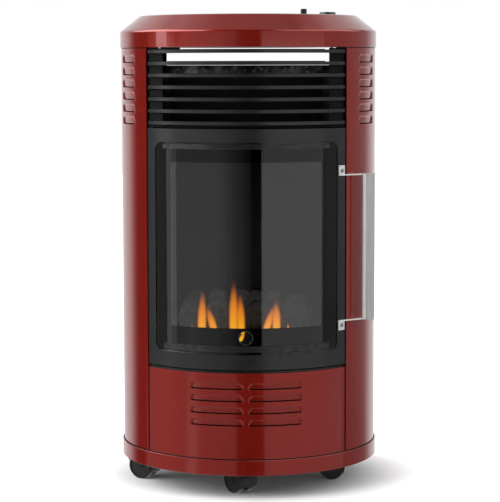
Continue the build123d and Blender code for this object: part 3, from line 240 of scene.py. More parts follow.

# %% [markdown]
# The floor is a wide sheet of white paper. It takes the shadow of the heater, but the enamel
# doesn't mirror it, because the room above already says what is seen from below. A little light of
# its own, which lights nothing else, lifts the bare paper to the white of the background and keeps
# the shadow. It fades near the heater, which paints a darker shadow round the heater's foot.

# %% Floor
# Inside these distances the lift fades, which paints a shadow round the heater's foot.
SHADOW_EDGE = (0.19, 0.33)    # distances from the middle where the lift starts and is full
LIFT = (0.01, 0.60)           # its strength at those distances
bpy.ops.object.select_all(action="DESELECT")
bpy.ops.mesh.primitive_circle_add(vertices=96, radius=9.0, fill_type="NGON", location=(0, 0, 0))
floor = bpy.context.object
floor.name = "paper_floor"
floor.visible_glossy = False
floor.visible_transmission = False
paper = bpy.data.materials.new("white_paper")
paper.use_nodes = True
tree = paper.node_tree
tree.nodes.clear()
body = add_node(tree, "ShaderNodeBsdfDiffuse")
body.inputs["Color"].default_value = (0.93, 0.93, 0.93, 1)
lift = add_node(tree, "ShaderNodeEmission")
rays = add_node(tree, "ShaderNodeLightPath")
seen = maths(tree, "MAXIMUM",
             rays.outputs["Is Camera Ray"], rays.outputs["Is Transmission Ray"])
spot = add_node(tree, "ShaderNodeVectorMath", operation="LENGTH")
coordinates = add_node(tree, "ShaderNodeTexCoord")
tree.links.new(coordinates.outputs["Object"], spot.inputs[0])
# painted shadow: the lift is weaker near the heater
lift_beyond_painted_shadow = remap(tree, spot.outputs["Value"], *SHADOW_EDGE, *LIFT)
tree.links.new(maths(tree, "MULTIPLY", seen, lift_beyond_painted_shadow), lift.inputs["Strength"])
both = add_node(tree, "ShaderNodeAddShader")
tree.links.new(body.outputs[0], both.inputs[0])
tree.links.new(lift.outputs[0], both.inputs[1])
ending = add_node(tree, "ShaderNodeOutputMaterial")
tree.links.new(both.outputs[0], ending.inputs["Surface"])
floor.data.materials.append(paper)
print("floor:", floor.name)

# %% [markdown]
# ## Finishes
#
# Each finish is one material with a Principled shader. What changes over the surface, such as grain,
# clouds of heat stain, dust or fine waviness, comes from noise, mostly in node groups that several
# finishes share. A number that is the same all over is set on the shader.

# %% A helper that starts a finish
def new_finish(name, **settings):
    """Material with a Principled shader. Returns the material, its node tree and the shader."""
    material = bpy.data.materials.new(name)
    material.use_nodes = True
    tree = material.node_tree
    shader = tree.nodes["Principled BSDF"]
    for socket, value in settings.items():
        place = shader.inputs[socket.replace("_", " ")]
        place.default_value = (*value, 1.0) if isinstance(value, tuple) else value
    return material, tree, shader


# %% Place, colour and relief
def surface_place(tree):
    """Object coordinates, in metres from the origin of the heater."""
    return add_node(tree, "ShaderNodeTexCoord").outputs["Object"]


def grey(level):
    """A neutral colour."""
    return (level, level, level)


def relief(tree, shader, height, depth):
    """Bump from a height socket, depth in metres, into the shader's normal."""
    bump = add_node(tree, "ShaderNodeBump")
    bump.inputs["Strength"].default_value = 1.0
    bump.inputs["Distance"].default_value = depth
    tree.links.new(height, bump.inputs["Height"])
    tree.links.new(bump.outputs["Normal"], shader.inputs["Normal"])


def two_tone(tree, factor, first, second):
    """A colour mix, by a factor socket, between two colours or colour sockets."""
    mix = add_node(tree, "ShaderNodeMix", data_type="RGBA")
    tree.links.new(factor, mix.inputs[0])
    for place, value in ((6, first), (7, second)):
        if isinstance(value, tuple):
            mix.inputs[place].default_value = (*value, 1.0)
        else:
            tree.links.new(value, mix.inputs[place])
    return mix.outputs[2]


# %% Grain
def grain(tree, vector, scale, detail=2.0, roughness=0.5, stretch=None):
    """A Noise texture's value, on coordinates that may be stretched first."""
    if stretch:
        mapping = add_node(tree, "ShaderNodeMapping")
        mapping.inputs["Scale"].default_value = stretch
        tree.links.new(vector, mapping.inputs["Vector"])
        vector = mapping.outputs[0]
    texture = add_node(tree, "ShaderNodeTexNoise")
    texture.inputs["Scale"].default_value = scale
    texture.inputs["Detail"].default_value = detail
    texture.inputs["Roughness"].default_value = roughness
    tree.links.new(vector, texture.inputs["Vector"])
    return texture.outputs["Fac"]


# %% A finish from a group
def coated(name, group, depth, values, **settings):
    """A finish whose colour, roughness and relief come from a node group with its own values."""
    material, tree, shader = new_finish(name, **settings)
    coat = add_node(tree, "ShaderNodeGroup", node_tree=group)
    for key, value in values.items():
        socket = coat.inputs[key]
        socket.default_value = (*value, 1.0) if socket.type == "RGBA" else value
    tree.links.new(surface_place(tree), coat.inputs["Place"])
    tree.links.new(coat.outputs["Colour"], shader.inputs["Base Color"])
    tree.links.new(coat.outputs["Roughness"], shader.inputs["Roughness"])
    relief(tree, shader, coat.outputs["Height"], depth)
    return material


# %% [markdown]
# ### Sprayed coats
#
# Sprayed enamel is never flat: it has a faint orange-peel waviness of a few millimetres, fine
# specks, and a slow drift of tone over a panel. The group `sprayed_coat` puts these out as a colour,
# a roughness and a height. Low down, a trace of floor dust dulls the gloss.

# %% The sprayed coat group
spray, given, result = new_group(
    "sprayed_coat",
    [("Place", "Vector", None),
     ("Deep", "Color", (0.1, 0.1, 0.1, 1)), ("Light", "Color", (0.2, 0.2, 0.2, 1)),
     ("Peel Scale", "Float", 240.0), ("Gloss", "Float", 0.1), ("Dull", "Float", 0.2)],
    [("Colour", "Color"), ("Roughness", "Float"), ("Height", "Float")])
place = given.outputs["Place"]
drift = grain(spray, place, 5.0, 2.0)
specks = grain(spray, place, 900.0, 1.0)
tone = maths(spray, "ADD", remap(spray, drift, 0.35, 0.65, 0.0, 0.7),
             remap(spray, specks, 0.4, 0.7, 0.0, 0.3))
spray.links.new(two_tone(spray, tone, given.outputs["Deep"], given.outputs["Light"]),
                result.inputs["Colour"])
peel = add_node(spray, "ShaderNodeTexNoise")
spray.links.new(place, peel.inputs["Vector"])
spray.links.new(given.outputs["Peel Scale"], peel.inputs["Scale"])
peel.inputs["Detail"].default_value = 1.0
slow = grain(spray, place, 28.0, 1.0)
wavy = maths(spray, "ADD", maths(spray, "MULTIPLY", peel.outputs["Fac"], 0.5), slow)
spray.links.new(wavy, result.inputs["Height"])
above_floor = add_node(spray, "ShaderNodeSeparateXYZ")
spray.links.new(place, above_floor.inputs[0])
dusty = maths(spray, "MULTIPLY", remap(spray, above_floor.outputs["Z"], 0.12, 0.03),
              remap(spray, grain(spray, place, 60.0, 3.0), 0.35, 0.75, 0.0, 0.08))
worn = remap(spray, grain(spray, place, 12.0, 4.0), 0.58, 0.9, 0.0, 0.35)
dulled = maths(spray, "MAXIMUM", dusty, worn)
rough = remap(spray, dulled, 0.0, 1.0, given.outputs["Gloss"], given.outputs["Dull"],
              smooth=False)
spray.links.new(rough, result.inputs["Roughness"])
print("group", spray.name, "has", len(spray.nodes), "nodes")


# %% A sprayed finish
def sprayed(name, deep, light, gloss, dull, peel_scale, peel_depth, **settings):
    """A sprayed finish: enamel, satin paint or textured paint."""
    values = {"Deep": deep, "Light": light, "Gloss": gloss, "Dull": dull, "Peel Scale": peel_scale}
    return coated(name, spray, peel_depth, values, **settings)


# %% Red enamel and the black paints
# name, deep and light colour, gloss, dull, scale and depth of the peel
red_enamel = sprayed("gloss_red_enamel", (0.235, 0.0115, 0.0068), (0.262, 0.0132, 0.0078),
                     0.26, 0.30, 240.0, 0.000025, Metallic=0.50, Specular_IOR_Level=0.1,
                     Coat_Weight=1.0, Coat_Roughness=0.035)
satin_black = sprayed("satin_black", (0.010, 0.010, 0.011), (0.015, 0.015, 0.016),
                      0.26, 0.42, 500.0, 0.00006, Specular_IOR_Level=0.5)
heat_black = sprayed("heat_black", grey(0.006), grey(0.012), 0.48, 0.68, 900.0, 0.00010,
                     Specular_IOR_Level=0.35)
# near black: the pilot parts' own finish, and on the grille frame painted shade for its cheeks behind
# the slats
shade_and_flue_black = sprayed("shade_and_flue_black", grey(0.0015), grey(0.0040), 0.60, 0.75, 700.0, 0.00012,
                     Specular_IOR_Level=0.10)
firebox_black = sprayed("firebox_black", grey(0.0070), grey(0.0120), 0.60, 0.75, 700.0, 0.00012,
                        Specular_IOR_Level=0.10)
nylon_black = sprayed("nylon_black", grey(0.008), grey(0.014), 0.30, 0.55, 1300.0, 0.00008,
                      Specular_IOR_Level=0.45)
wheel_black = sprayed("wheel_black", grey(0.010), (0.020, 0.019, 0.018),
                      0.38, 0.62, 1100.0, 0.00010, Specular_IOR_Level=0.4)
print("sprayed finishes:", [m.name for m in bpy.data.materials])

# %% [markdown]
# ### Metals
#
# Sheet that has been brushed carries fine scratches that all run one way. The group `brushed` makes
# them from a noise that is stretched up to fifty times along one axis. The stretch is an input of the
# group, `Along`, so that one group serves handles, pipes and plates.

# %% The brushed group
brush, given, result = new_group(
    "brushed",
    [("Place", "Vector", None),
     ("Dark", "Color", (0.4, 0.4, 0.4, 1)), ("Bright", "Color", (0.6, 0.6, 0.6, 1)),
     ("Along", "Vector", (1.0, 1.0, 0.02)), ("Smooth", "Float", 0.2), ("Coarse", "Float", 0.4)],
    [("Colour", "Color"), ("Roughness", "Float"), ("Height", "Float")])
stretched = add_node(brush, "ShaderNodeVectorMath", operation="MULTIPLY")
brush.links.new(given.outputs["Place"], stretched.inputs[0])
brush.links.new(given.outputs["Along"], stretched.inputs[1])
scratches = grain(brush, stretched.outputs[0], 1400.0, 3.0, 0.65)
streaks = grain(brush, stretched.outputs[0], 220.0, 2.0)
handled = grain(brush, given.outputs["Place"], 22.0, 4.0)
shade = maths(brush, "MULTIPLY_ADD", streaks, 0.6, maths(brush, "MULTIPLY", scratches, 0.4))
metal_tone = two_tone(brush, remap(brush, shade, 0.35, 0.65),
                      given.outputs["Dark"], given.outputs["Bright"])
brush.links.new(metal_tone, result.inputs["Colour"])
smudge = maths(brush, "MAXIMUM", remap(brush, scratches, 0.3, 0.7, 0.0, 0.6),
               remap(brush, handled, 0.5, 0.75))
metal_rough = remap(brush, smudge, 0.0, 1.0, given.outputs["Smooth"], given.outputs["Coarse"],
                    smooth=False)
brush.links.new(metal_rough, result.inputs["Roughness"])
brush.links.new(scratches, result.inputs["Height"])
print("group", brush.name, "has", len(brush.nodes), "nodes")


# %% A brushed finish
def brushed(name, dark, bright, along, smoothest, coarsest, depth, metallic=1.0):
    """A metal finish with scratches."""
    values = {"Dark": dark, "Bright": bright, "Along": along, "Smooth": smoothest, "Coarse": coarsest}
    return coated(name, brush, depth, values, Metallic=metallic)


# %% Metal finishes
# name, dark and bright colour, stretch, least and greatest roughness, depth of the scratches
handle_steel = brushed("brushed_handle_steel", grey(0.80), (0.96, 0.96, 0.95),
                       (1.0, 1.0, 0.02), 0.36, 0.50, 0.00002, metallic=0.75)
clamp_steel = brushed("clamp_steel", grey(0.045), grey(0.085), (0.05, 1.0, 1.0),
                      0.32, 0.5, 0.00002)
zinc_sheet = brushed("zinc_sheet", (0.34, 0.35, 0.36), (0.50, 0.51, 0.52),
                     (1.0, 1.0, 0.15), 0.34, 0.5, 0.00002)
turned_brass = brushed("turned_brass", (0.50, 0.34, 0.12), (0.66, 0.47, 0.18),
                       (1.0, 1.0, 0.3), 0.22, 0.4, 0.00002)
cast_aluminium = brushed("cast_aluminium", grey(0.38), grey(0.52), (1.0, 1.0, 1.0),
                         0.42, 0.6, 0.0001)
screw_steel = brushed("screw_steel", grey(0.40), grey(0.56), (0.3, 0.3, 1.0),
                      0.22, 0.38, 0.00001)
print("metals:", handle_steel.name, clamp_steel.name, zinc_sheet.name, turned_brass.name)

# %% [markdown]
# ### Heat-stained sheet
#
# Bare steel above a flame turns grey in cloudy patches, with soot between them. The deflector's edge
# shows this behind the slats. Two noises of different size choose between three metal tones, and
# below a set height the sheet is plain black and not metallic.

# %% Heat-stained steel
BLACK_PART_TOP = (0.6975, 0.6995)    # heights between which the black lower part ends
stained_steel, tree, shader = new_finish("stained_steel", Specular_IOR_Level=0.4)
coordinates = surface_place(tree)
cloud = grain(tree, coordinates, 38.0, 5.0, 0.62, (1.0, 1.0, 1.3))
fleck = grain(tree, coordinates, 150.0, 3.0, 0.6)
place = add_node(tree, "ShaderNodeSeparateXYZ")
tree.links.new(coordinates, place.inputs[0])
above_black_part = remap(tree, place.outputs["Z"], *BLACK_PART_TOP)
warm = two_tone(tree, remap(tree, cloud, 0.40, 0.62), (0.012, 0.011, 0.011), (0.10, 0.095, 0.09))
tones = two_tone(tree, remap(tree, fleck, 0.50, 0.74, 0.0, 0.8), warm, grey(0.18))
tree.links.new(two_tone(tree, above_black_part, grey(0.004), tones), shader.inputs["Base Color"])
tree.links.new(maths(tree, "MULTIPLY", above_black_part, 0.8), shader.inputs["Metallic"])
tree.links.new(remap(tree, cloud, 0.3, 0.7, 0.72, 0.42), shader.inputs["Roughness"])
relief(tree, shader, cloud, 0.0003)
print("finish", stained_steel.name)

# %% [markdown]
# ### Glass, rope and silicone
#
# The door glass is a clear glass-ceramic, faintly wavy. The seal is braided glass-fibre rope, whose
# plait is a diagonal wave with fuzz over it. The ignition lead is smooth silicone. A near-black
# strip under the cap is painted shade in the joint there.

# %% Glass ceramic
door_pane, tree, shader = new_finish("door_pane", Base_Color=grey(0.97), Roughness=0.0,
                                     IOR=1.5, Transmission_Weight=1.0)
coordinates = surface_place(tree)
relief(tree, shader, grain(tree, coordinates, 7.0, 1.0), 0.0003)
print("finish", door_pane.name)

# %% Glass-fibre rope, silicone and rubber
rope_fibre, tree, shader = new_finish("rope_fibre", Sheen_Weight=0.4, Sheen_Roughness=0.5,
                                      Roughness=0.9)
coordinates = surface_place(tree)
plait = add_node(tree, "ShaderNodeTexWave", wave_type="BANDS", bands_direction="DIAGONAL")
plait.inputs["Scale"].default_value = 160.0
plait.inputs["Distortion"].default_value = 1.5
tree.links.new(coordinates, plait.inputs["Vector"])
fuzz = grain(tree, coordinates, 1500.0, 2.0)
tree.links.new(two_tone(tree, plait.outputs["Fac"], (0.035, 0.035, 0.036), grey(0.12)),
               shader.inputs["Base Color"])
braid = maths(tree, "ADD", plait.outputs["Fac"], maths(tree, "MULTIPLY", fuzz, 0.4))
relief(tree, shader, braid, 0.0008)
silicone = sprayed("silicone", (0.022, 0.021, 0.021), (0.032, 0.031, 0.030),
                   0.5, 0.6, 700.0, 0.00002, Specular_IOR_Level=0.4)
# near black: painted shade for the joint under the cap
joint_shade_black = sprayed("joint_shade_black", grey(0.004), grey(0.007), 0.6, 0.7, 700.0, 0.00002,
                        Specular_IOR_Level=0.2)
print("finishes:", rope_fibre.name, silicone.name, joint_shade_black.name)

# %% [markdown]
# ## Finishes on the CAD pieces
#
# The record names a material slot for each CAD node, and each slot has one finish. Some nodes look
# different from the rest of their slot, such as the sooty firebox, so they are listed by name.

# %% Finishes by slot and by name
BY_SLOT = {
    "red_enamel": red_enamel, "black_paint": satin_black, "plain_steel": zinc_sheet,
    "handle_steel": handle_steel, "door_glass": door_pane, "ceramic": heat_black,
    "brass": turned_brass, "aluminium": cast_aluminium, "black_plastic": nylon_black,
    "wheel_plastic": wheel_black, "seal": rope_fibre, "lead": silicone}
BY_NAME = {
    "firebox_shell": firebox_black, "firebox_back_panel": firebox_black, "coal_grate": heat_black,
    # the grille frame is painted near black, as shade for its cheeks behind the slats
    "grille_frame": shade_and_flue_black, "pilot_burner": shade_and_flue_black, "pilot_bracket": shade_and_flue_black,
    "spark_electrode": shade_and_flue_black, "thermocouple": shade_and_flue_black, "burner": heat_black,
    "heat_deflector": stained_steel, "glass_clamps": clamp_steel, "panel_screws": screw_steel,
    "handle_screws": screw_steel, "hinge_pins": satin_black, "door_bushes": nylon_black,
    "knob_spring": screw_steel}
for part in frame["record"]["subparts"]:
    node = nodes[part["node"]]
    node.data.materials.clear()
    node.data.materials.append(BY_NAME.get(part["node"], BY_SLOT[part["material_slot"]]))
print("nodes dressed:", len(nodes))

# %% [markdown]
# ## New pieces
#
# Most of the next pieces are modelled with the same operators as in Blender's window: a primitive, a
# few extrudes and bevels, and modifiers that are applied at the end. `start_piece` adds the primitive
# and names it, `edit` opens a piece with some of its elements selected, and `apply_all` applies its
# modifiers and its place.

# %% Start and edit a piece
def start_piece(name, add, **settings):
    """Adds a primitive with a bpy.ops operator, alone in the selection, and names it."""
    bpy.ops.object.select_all(action="DESELECT")
    add(**settings)
    piece = bpy.context.object
    piece.name = name
    piece.data.name = name
    return piece


def alone(piece):
    """Makes one piece the active object and the only one selected."""
    bpy.ops.object.select_all(action="DESELECT")
    bpy.context.view_layer.objects.active = piece
    piece.select_set(True)


def edit(piece, select, mode="FACE"):
    """Edit mode, with the faces, edges or points selected that `select` picks.

    It is given the place and the normal of each one, or the direction if it is an edge.
    """
    alone(piece)
    bpy.ops.object.mode_set(mode="EDIT")
    bpy.ops.mesh.select_mode(type=mode)
    bpy.ops.mesh.select_all(action="DESELECT")
    mesh = bmesh.from_edit_mesh(piece.data)
    for item in {"FACE": mesh.faces, "EDGE": mesh.edges, "VERT": mesh.verts}[mode]:
        if mode == "FACE":
            item.select_set(bool(select(item.calc_center_median(), item.normal)))
        elif mode == "EDGE":
            first, second = (v.co for v in item.verts)
            item.select_set(bool(select((first + second) / 2, second - first)))
        else:
            item.select_set(bool(select(item.co, item.normal)))
    mesh.select_flush_mode()
    bmesh.update_edit_mesh(piece.data)


def everything(place, direction):
    """Picks every element, for `edit`."""
    return True


def leave_edit():
    """Back to object mode."""
    bpy.ops.object.mode_set(mode="OBJECT")


def face_outwards(piece):
    """Makes the normals of a mesh agree, outwards where it is closed."""
    edit(piece, everything)
    bpy.ops.mesh.normals_make_consistent(inside=False)
    leave_edit()


# %% Apply, cut and smooth
def apply_all(piece):
    """Applies every modifier and the object's place, and returns the piece."""
    alone(piece)
    for modifier in list(piece.modifiers):
        bpy.ops.object.modifier_apply(modifier=modifier.name)
    bpy.ops.object.transform_apply(location=True, rotation=True, scale=True)
    return piece


def cut(piece, cutter, operation="DIFFERENCE"):
    """Boolean of one piece with another, which is then deleted."""
    modifier = piece.modifiers.new("cut", "BOOLEAN")
    modifier.operation = operation
    modifier.solver = "EXACT"
    modifier.object = cutter
    apply_all(piece)
    bpy.data.objects.remove(cutter, do_unlink=True)


def smooth(piece, angle=35.0):
    """Smooth shading that keeps edges sharper than the angle."""
    alone(piece)
    bpy.ops.object.shade_smooth_by_angle(angle=math.radians(angle))


# %% Join and dress
def join(name, pieces):
    """Several pieces become one."""
    bpy.ops.object.select_all(action="DESELECT")
    for piece in pieces:
        piece.select_set(True)
    bpy.context.view_layer.objects.active = pieces[0]
    bpy.ops.object.join()
    whole = bpy.context.object
    whole.name = name
    whole.data.name = name
    return whole


def dress(piece, material, body, stands_for=()):
    """Gives a finished piece its material and its body, and hides the CAD nodes it stands for."""
    piece.data.materials.clear()
    piece.data.materials.append(material)
    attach(piece, body)
    if stands_for:
        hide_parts(*stands_for)
    faces = sum(len(polygon.vertices) - 2 for polygon in piece.data.polygons)
    print(f"{piece.name}: {faces} triangles on {body}")


# %% A point on the round body
def on_body(radius, azimuth, height):
    """Point at a radius and an azimuth in degrees from the front, positive to the right."""
    angle = math.radians(azimuth)
    return Vector((radius * math.sin(angle), -radius * math.cos(angle), height))


# %% [markdown]
# ### The printed border of the glass
#
# The door glass has black enamel fired onto its inner face, all round the window, with a small round
# sight hole for the pilot flame. It is as thin as paint, but a curved sheet of its own is easier to
# keep crisp than a mask in the glass material. An edge is spun into a curved strip, the strip gets a
# little thickness, and rounded blocks cut its outline and its window. The pane is made the same way.

# %% A curved strip
def curved_strip(name, radius, half_angle, low, high, thickness, steps=96):
    """Upright curved sheet at the front, from an upright edge spun about the middle."""
    strip = start_piece(name, bpy.ops.mesh.primitive_plane_add, size=1.0)
    edit(strip, lambda centre, normal: centre.x > 0.1, "VERT")
    bpy.ops.mesh.delete(type="VERT")
    leave_edit()
    first = on_body(radius, -half_angle, 0)
    for vertex, level in zip(strip.data.vertices, (low, high)):
        vertex.co = (first.x, first.y, level)
    edit(strip, everything, "VERT")
    bpy.ops.mesh.spin(steps=steps, angle=-2 * math.radians(half_angle),
                      center=(0, 0, 0), axis=(0, 0, 1))
    leave_edit()
    face_outwards(strip)
    solid = strip.modifiers.new("thickness", "SOLIDIFY")
    solid.thickness = thickness
    solid.offset = 0.0
    return apply_all(strip)


# %% A cutting block
CUT_NEAR, CUT_FAR = -0.30, -0.12    # the cutting blocks reach along Y between these


def rounded_block(name, half_width, low, high, corner, segments=8):
    """Block along Y with its four long edges rounded, to cut an outline with."""
    block = start_piece(name, bpy.ops.mesh.primitive_cube_add, size=1.0,
                        location=(0, (CUT_NEAR + CUT_FAR) / 2, (low + high) / 2),
                        scale=(2 * half_width, CUT_FAR - CUT_NEAR, high - low))
    apply_all(block)
    edit(block, lambda centre, along: abs(along.y) > 0.01, "EDGE")
    bpy.ops.mesh.bevel(offset=corner, segments=segments, affect="EDGES")
    leave_edit()
    return block


# %% Pane and printed border
GLASS_MIDDLE, GLASS_SHEET = 0.21545, 0.0037              # radius and thickness of the pane
PRINT_MIDDLE, PRINT_SHEET = 0.21360 + 0.00016, 0.0001    # just within the glass, at its inner face
STRIP_LOW, STRIP_HIGH = 0.236, 0.592                     # heights of both strips, not yet cut
# half width, lower edge, upper edge, corner radius
PANE_OUTLINE = (0.1498, 0.2410, 0.5862, 0.0128)
PRINT_OUTLINE = (0.1492, 0.2415, 0.5857, 0.0125)
WINDOW = (0.1228, 0.2840, 0.5546, 0.0030)
SIGHT_HEIGHT, SIGHT_RADIUS = 0.268, 0.0110


def sight_rod(name, vertices, radius, depth, y):
    """Short cylinder along Y, on the axis of the sight hole."""
    rod = start_piece(name, bpy.ops.mesh.primitive_cylinder_add, vertices=vertices,
                      radius=radius, depth=depth, location=(0, y, SIGHT_HEIGHT),
                      rotation=(math.radians(90), 0, 0))
    return apply_all(rod)


pane = curved_strip("glass_pane", GLASS_MIDDLE, 43.7, STRIP_LOW, STRIP_HIGH, GLASS_SHEET,
                    steps=160)
cut(pane, rounded_block("pane_outline", *PANE_OUTLINE), "INTERSECT")
smooth(pane)
border = curved_strip("glass_border", PRINT_MIDDLE, 46.0, STRIP_LOW, STRIP_HIGH, PRINT_SHEET)
cut(border, rounded_block("outline", *PRINT_OUTLINE), "INTERSECT")
cut(border, rounded_block("window", *WINDOW, segments=4))
cut(border, sight_rod("sight", 48, SIGHT_RADIUS, 0.1, -0.21))
smooth(border)
print("border spans", [round(v, 4) for v in border.dimensions])

# %% [markdown]
# A thin bright line runs round the sight hole. It is a narrow ring, cut from two short cylinders, and
# it is set into the glass just in front of the print.

# %% Sight ring
RING_Y, RING_RADIUS, RING_DEPTH = -0.2141, 0.0117, 0.0006
ring = sight_rod("sight_ring", 64, RING_RADIUS, RING_DEPTH, RING_Y)
cut(ring, sight_rod("core", 64, SIGHT_RADIUS, 0.01, RING_Y))
smooth(ring)
print("ring spans", [round(v, 4) for v in ring.dimensions])

# %% [markdown]
# ### Ceramic coals
#
# The coals are moulded from ceramic fibre: rounded lumps with a chalky, pitted skin, in two rows on
# the grate. They could be sculpted by hand, but noise gives the same lumps each time. Each lump
# starts as a subdivided icosphere that is stretched down to the grate. Two Displace modifiers, one
# broad and one fine, give it its shape and its pits. Global texture coordinates make every lump
# different. What hangs below the grate is then flattened onto it.

# %% Coals
GRATE = 0.268                    # height of the grate's top
BACK_Y, FRONT_Y = -0.136, -0.165
COAL_DEPTH = 0.018               # greatest half depth of a lump
# x, height of the top above the grate, half width
BACK_ROW = [
    (-0.084, 0.0715, 0.0270), (-0.047, 0.0730, 0.0240), (-0.010, 0.0715, 0.0270),
    (0.016, 0.0700, 0.0230), (0.044, 0.0705, 0.0220), (0.080, 0.0650, 0.0270)]
FRONT_ROW = [
    (-0.092, 0.0560, 0.0220), (-0.045, 0.0600, 0.0260), (-0.008, 0.0520, 0.0220),
    (0.026, 0.0565, 0.0250), (0.080, 0.0550, 0.0260)]
broad = bpy.data.textures.new("broad_lumps", "CLOUDS")
broad.noise_scale = 0.022
broad.noise_depth = 1
fine = bpy.data.textures.new("fine_pits", "CLOUDS")
fine.noise_scale = 0.0035
fine.noise_depth = 3


def coal(name, x, y, top, radius):
    """One lump from the grate to its top."""
    tall = (top - GRATE) / 2
    lump = start_piece(name, bpy.ops.mesh.primitive_ico_sphere_add, subdivisions=5, radius=1.0,
                       location=(x, y, GRATE + tall),
                       scale=(radius, min(radius, COAL_DEPTH), tall))
    apply_all(lump)
    for texture, strength in ((broad, 0.007), (fine, 0.0014)):
        push = lump.modifiers.new("push", "DISPLACE")
        push.texture = texture
        push.texture_coords = "GLOBAL"
        push.strength = strength
        push.mid_level = 0.55
    smooth(apply_all(lump), 180)
    return lump


lumps = []
for row, y, places in (("back", BACK_Y, BACK_ROW), ("front", FRONT_Y, FRONT_ROW)):
    for number, (x, rise, half) in enumerate(places):
        lumps.append(coal(f"{row}_{number}", x, y, GRATE + rise, half))
coals = join("ceramic_coals", lumps)
for vertex in coals.data.vertices:
    vertex.co.z = max(vertex.co.z, GRATE)
print("coals:", len(lumps), "lumps,", len(coals.data.vertices), "points")

# %% [markdown]
# The skin is dark grey, with lighter patches and darker pits. The coals, the print, the pane and the
# ring are then dressed.

# %% Ceramic and print finishes
fired_ceramic, tree, shader = new_finish("fired_ceramic", Specular_IOR_Level=0.2)
coordinates = surface_place(tree)
patches = grain(tree, coordinates, 55.0, 4.0, 0.6)
pits = grain(tree, coordinates, 600.0, 3.0, 0.7)
pale = two_tone(tree, remap(tree, patches, 0.35, 0.65), grey(0.030), (0.060, 0.060, 0.059))
pitted = two_tone(tree, remap(tree, pits, 0.60, 0.72), pale, grey(0.018))
tree.links.new(pitted, shader.inputs["Base Color"])
tree.links.new(remap(tree, pits, 0.3, 0.7, 0.95, 0.8), shader.inputs["Roughness"])
relief(tree, shader, pits, 0.0006)
dress(coals, fired_ceramic, "cabinet", ["coal_bed"])
enamel_print = sprayed("enamel_print", grey(0.0015), grey(0.0025), 0.55, 0.65, 1200.0, 0.00001,
                       Specular_IOR_Level=0.0)
dress(border, enamel_print, "front_door")
dress(pane, door_pane, "front_door", ["door_glass"])
dress(ring, screw_steel, "front_door")

# %% [markdown]
# ### Flames
#
# A gas flame on coals is a narrow tongue: bright yellow at the foot, orange higher up, and almost
# nothing at the tip. It could be a volume, but a volume renders slowly and has no mesh that other
# programs could show. Each tongue is a disc that is extruded upwards step by step, while it narrows
# and leans. Three tongues sit inside each other, the outer ones fainter, so that the edge looks
# soft from every side. A point attribute, `rise`, runs from 0 at the foot to 1 at the tip, and the
# material reads it.

# %% Flame material
TURN = 0.45    # how far up the middle colour stands and the fading starts


def flame_finish(name, foot, middle, tip, solid):
    """Glowing material: three colours from foot to tip, and the density of its lower part."""
    material, tree, shader = new_finish(name, Base_Color=(0.0, 0.0, 0.0), Roughness=1.0,
                                        Specular_IOR_Level=0.0, Emission_Strength=1.0)
    rise = add_node(tree, "ShaderNodeAttribute", attribute_name="rise", attribute_type="GEOMETRY")
    ramp = add_node(tree, "ShaderNodeValToRGB")
    ramp.color_ramp.elements[0].color = (*foot, 1)
    ramp.color_ramp.elements[1].color = (*tip, 1)
    ramp.color_ramp.elements.new(TURN).color = (*middle, 1)
    tree.links.new(rise.outputs["Fac"], ramp.inputs[0])
    tree.links.new(ramp.outputs["Color"], shader.inputs["Emission Color"])
    fade = remap(tree, rise.outputs["Fac"], TURN, 1.0, solid, 0.0)
    tree.links.new(fade, shader.inputs["Alpha"])
    return material


outer_flame = flame_finish("outer_flame", (0.90, 0.28, 0.003), (0.65, 0.15, 0.004),
                           (0.25, 0.04, 0.004), 0.30)
middle_flame = flame_finish("middle_flame", (1.0, 0.50, 0.004), (0.90, 0.27, 0.006),
                            (0.4, 0.1, 0.008), 0.50)
inner_flame = flame_finish("inner_flame", (1.0, 0.62, 0.012), (0.95, 0.40, 0.012),
                           (0.6, 0.2, 0.012), 0.75)
print("flames:", outer_flame.name, middle_flame.name, inner_flame.name)

# %% A flame tongue
STEPS = 16    # extrusions from the foot to the tip


def tongue_size(part):
    """Half the width at `part` of the way up, as a share of the full width."""
    swelling = 0.84 + part
    closing = ((1.0 - part) / 0.55) ** 0.7
    return max(0.5 * min(1.0, swelling, closing), 0.012)


def tongue(name, foot, tip, width, depth):
    """One closed flame tongue from its foot to its tip. It widens a little before it closes."""
    foot, tip = Vector(foot), Vector(tip)
    piece = start_piece(name, bpy.ops.mesh.primitive_circle_add, vertices=20, radius=1.0,
                        fill_type="NGON", location=foot)
    last = tongue_size(0.0)
    piece.scale = (width * last, depth * last, 1.0)
    apply_all(piece)
    edit(piece, everything)
    for step in range(1, STEPS + 1):
        size = tongue_size(step / STEPS)
        before = foot.lerp(tip, (step - 1) / STEPS)
        now = foot.lerp(tip, step / STEPS)
        bpy.ops.mesh.extrude_region_move(TRANSFORM_OT_translate={"value": tuple(now - before)})
        bpy.ops.transform.resize(value=(size / last, size / last, 1.0), center_override=tuple(now))
        last = size
    leave_edit()
    face_outwards(piece)
    rise = piece.data.attributes.new("rise", "FLOAT", "POINT")
    height = tip.z - foot.z
    for vertex, value in zip(piece.data.vertices, rise.data):
        value.value = (vertex.co.z - foot.z) / height
    smooth(piece, 180)
    return piece


# %% Flames
FLAME_Y = -0.188
FLAME_FOOT = 0.272    # height of every foot
# x of the foot, x of the tip, height of the tip, width
TONGUES = [
    (-0.0728, -0.0707, 0.352, 0.0145),
    (-0.0510, -0.0650, 0.324, 0.0130),
    (-0.0208, -0.0200, 0.370, 0.0150),
    (-0.0080, -0.0104, 0.348, 0.0140),
    (0.0498, 0.0494, 0.336, 0.0140),
    (0.0310, 0.0480, 0.326, 0.0130),
    (-0.0900, -0.0880, 0.290, 0.0042),
    (0.0700, 0.0680, 0.293, 0.0045),
]
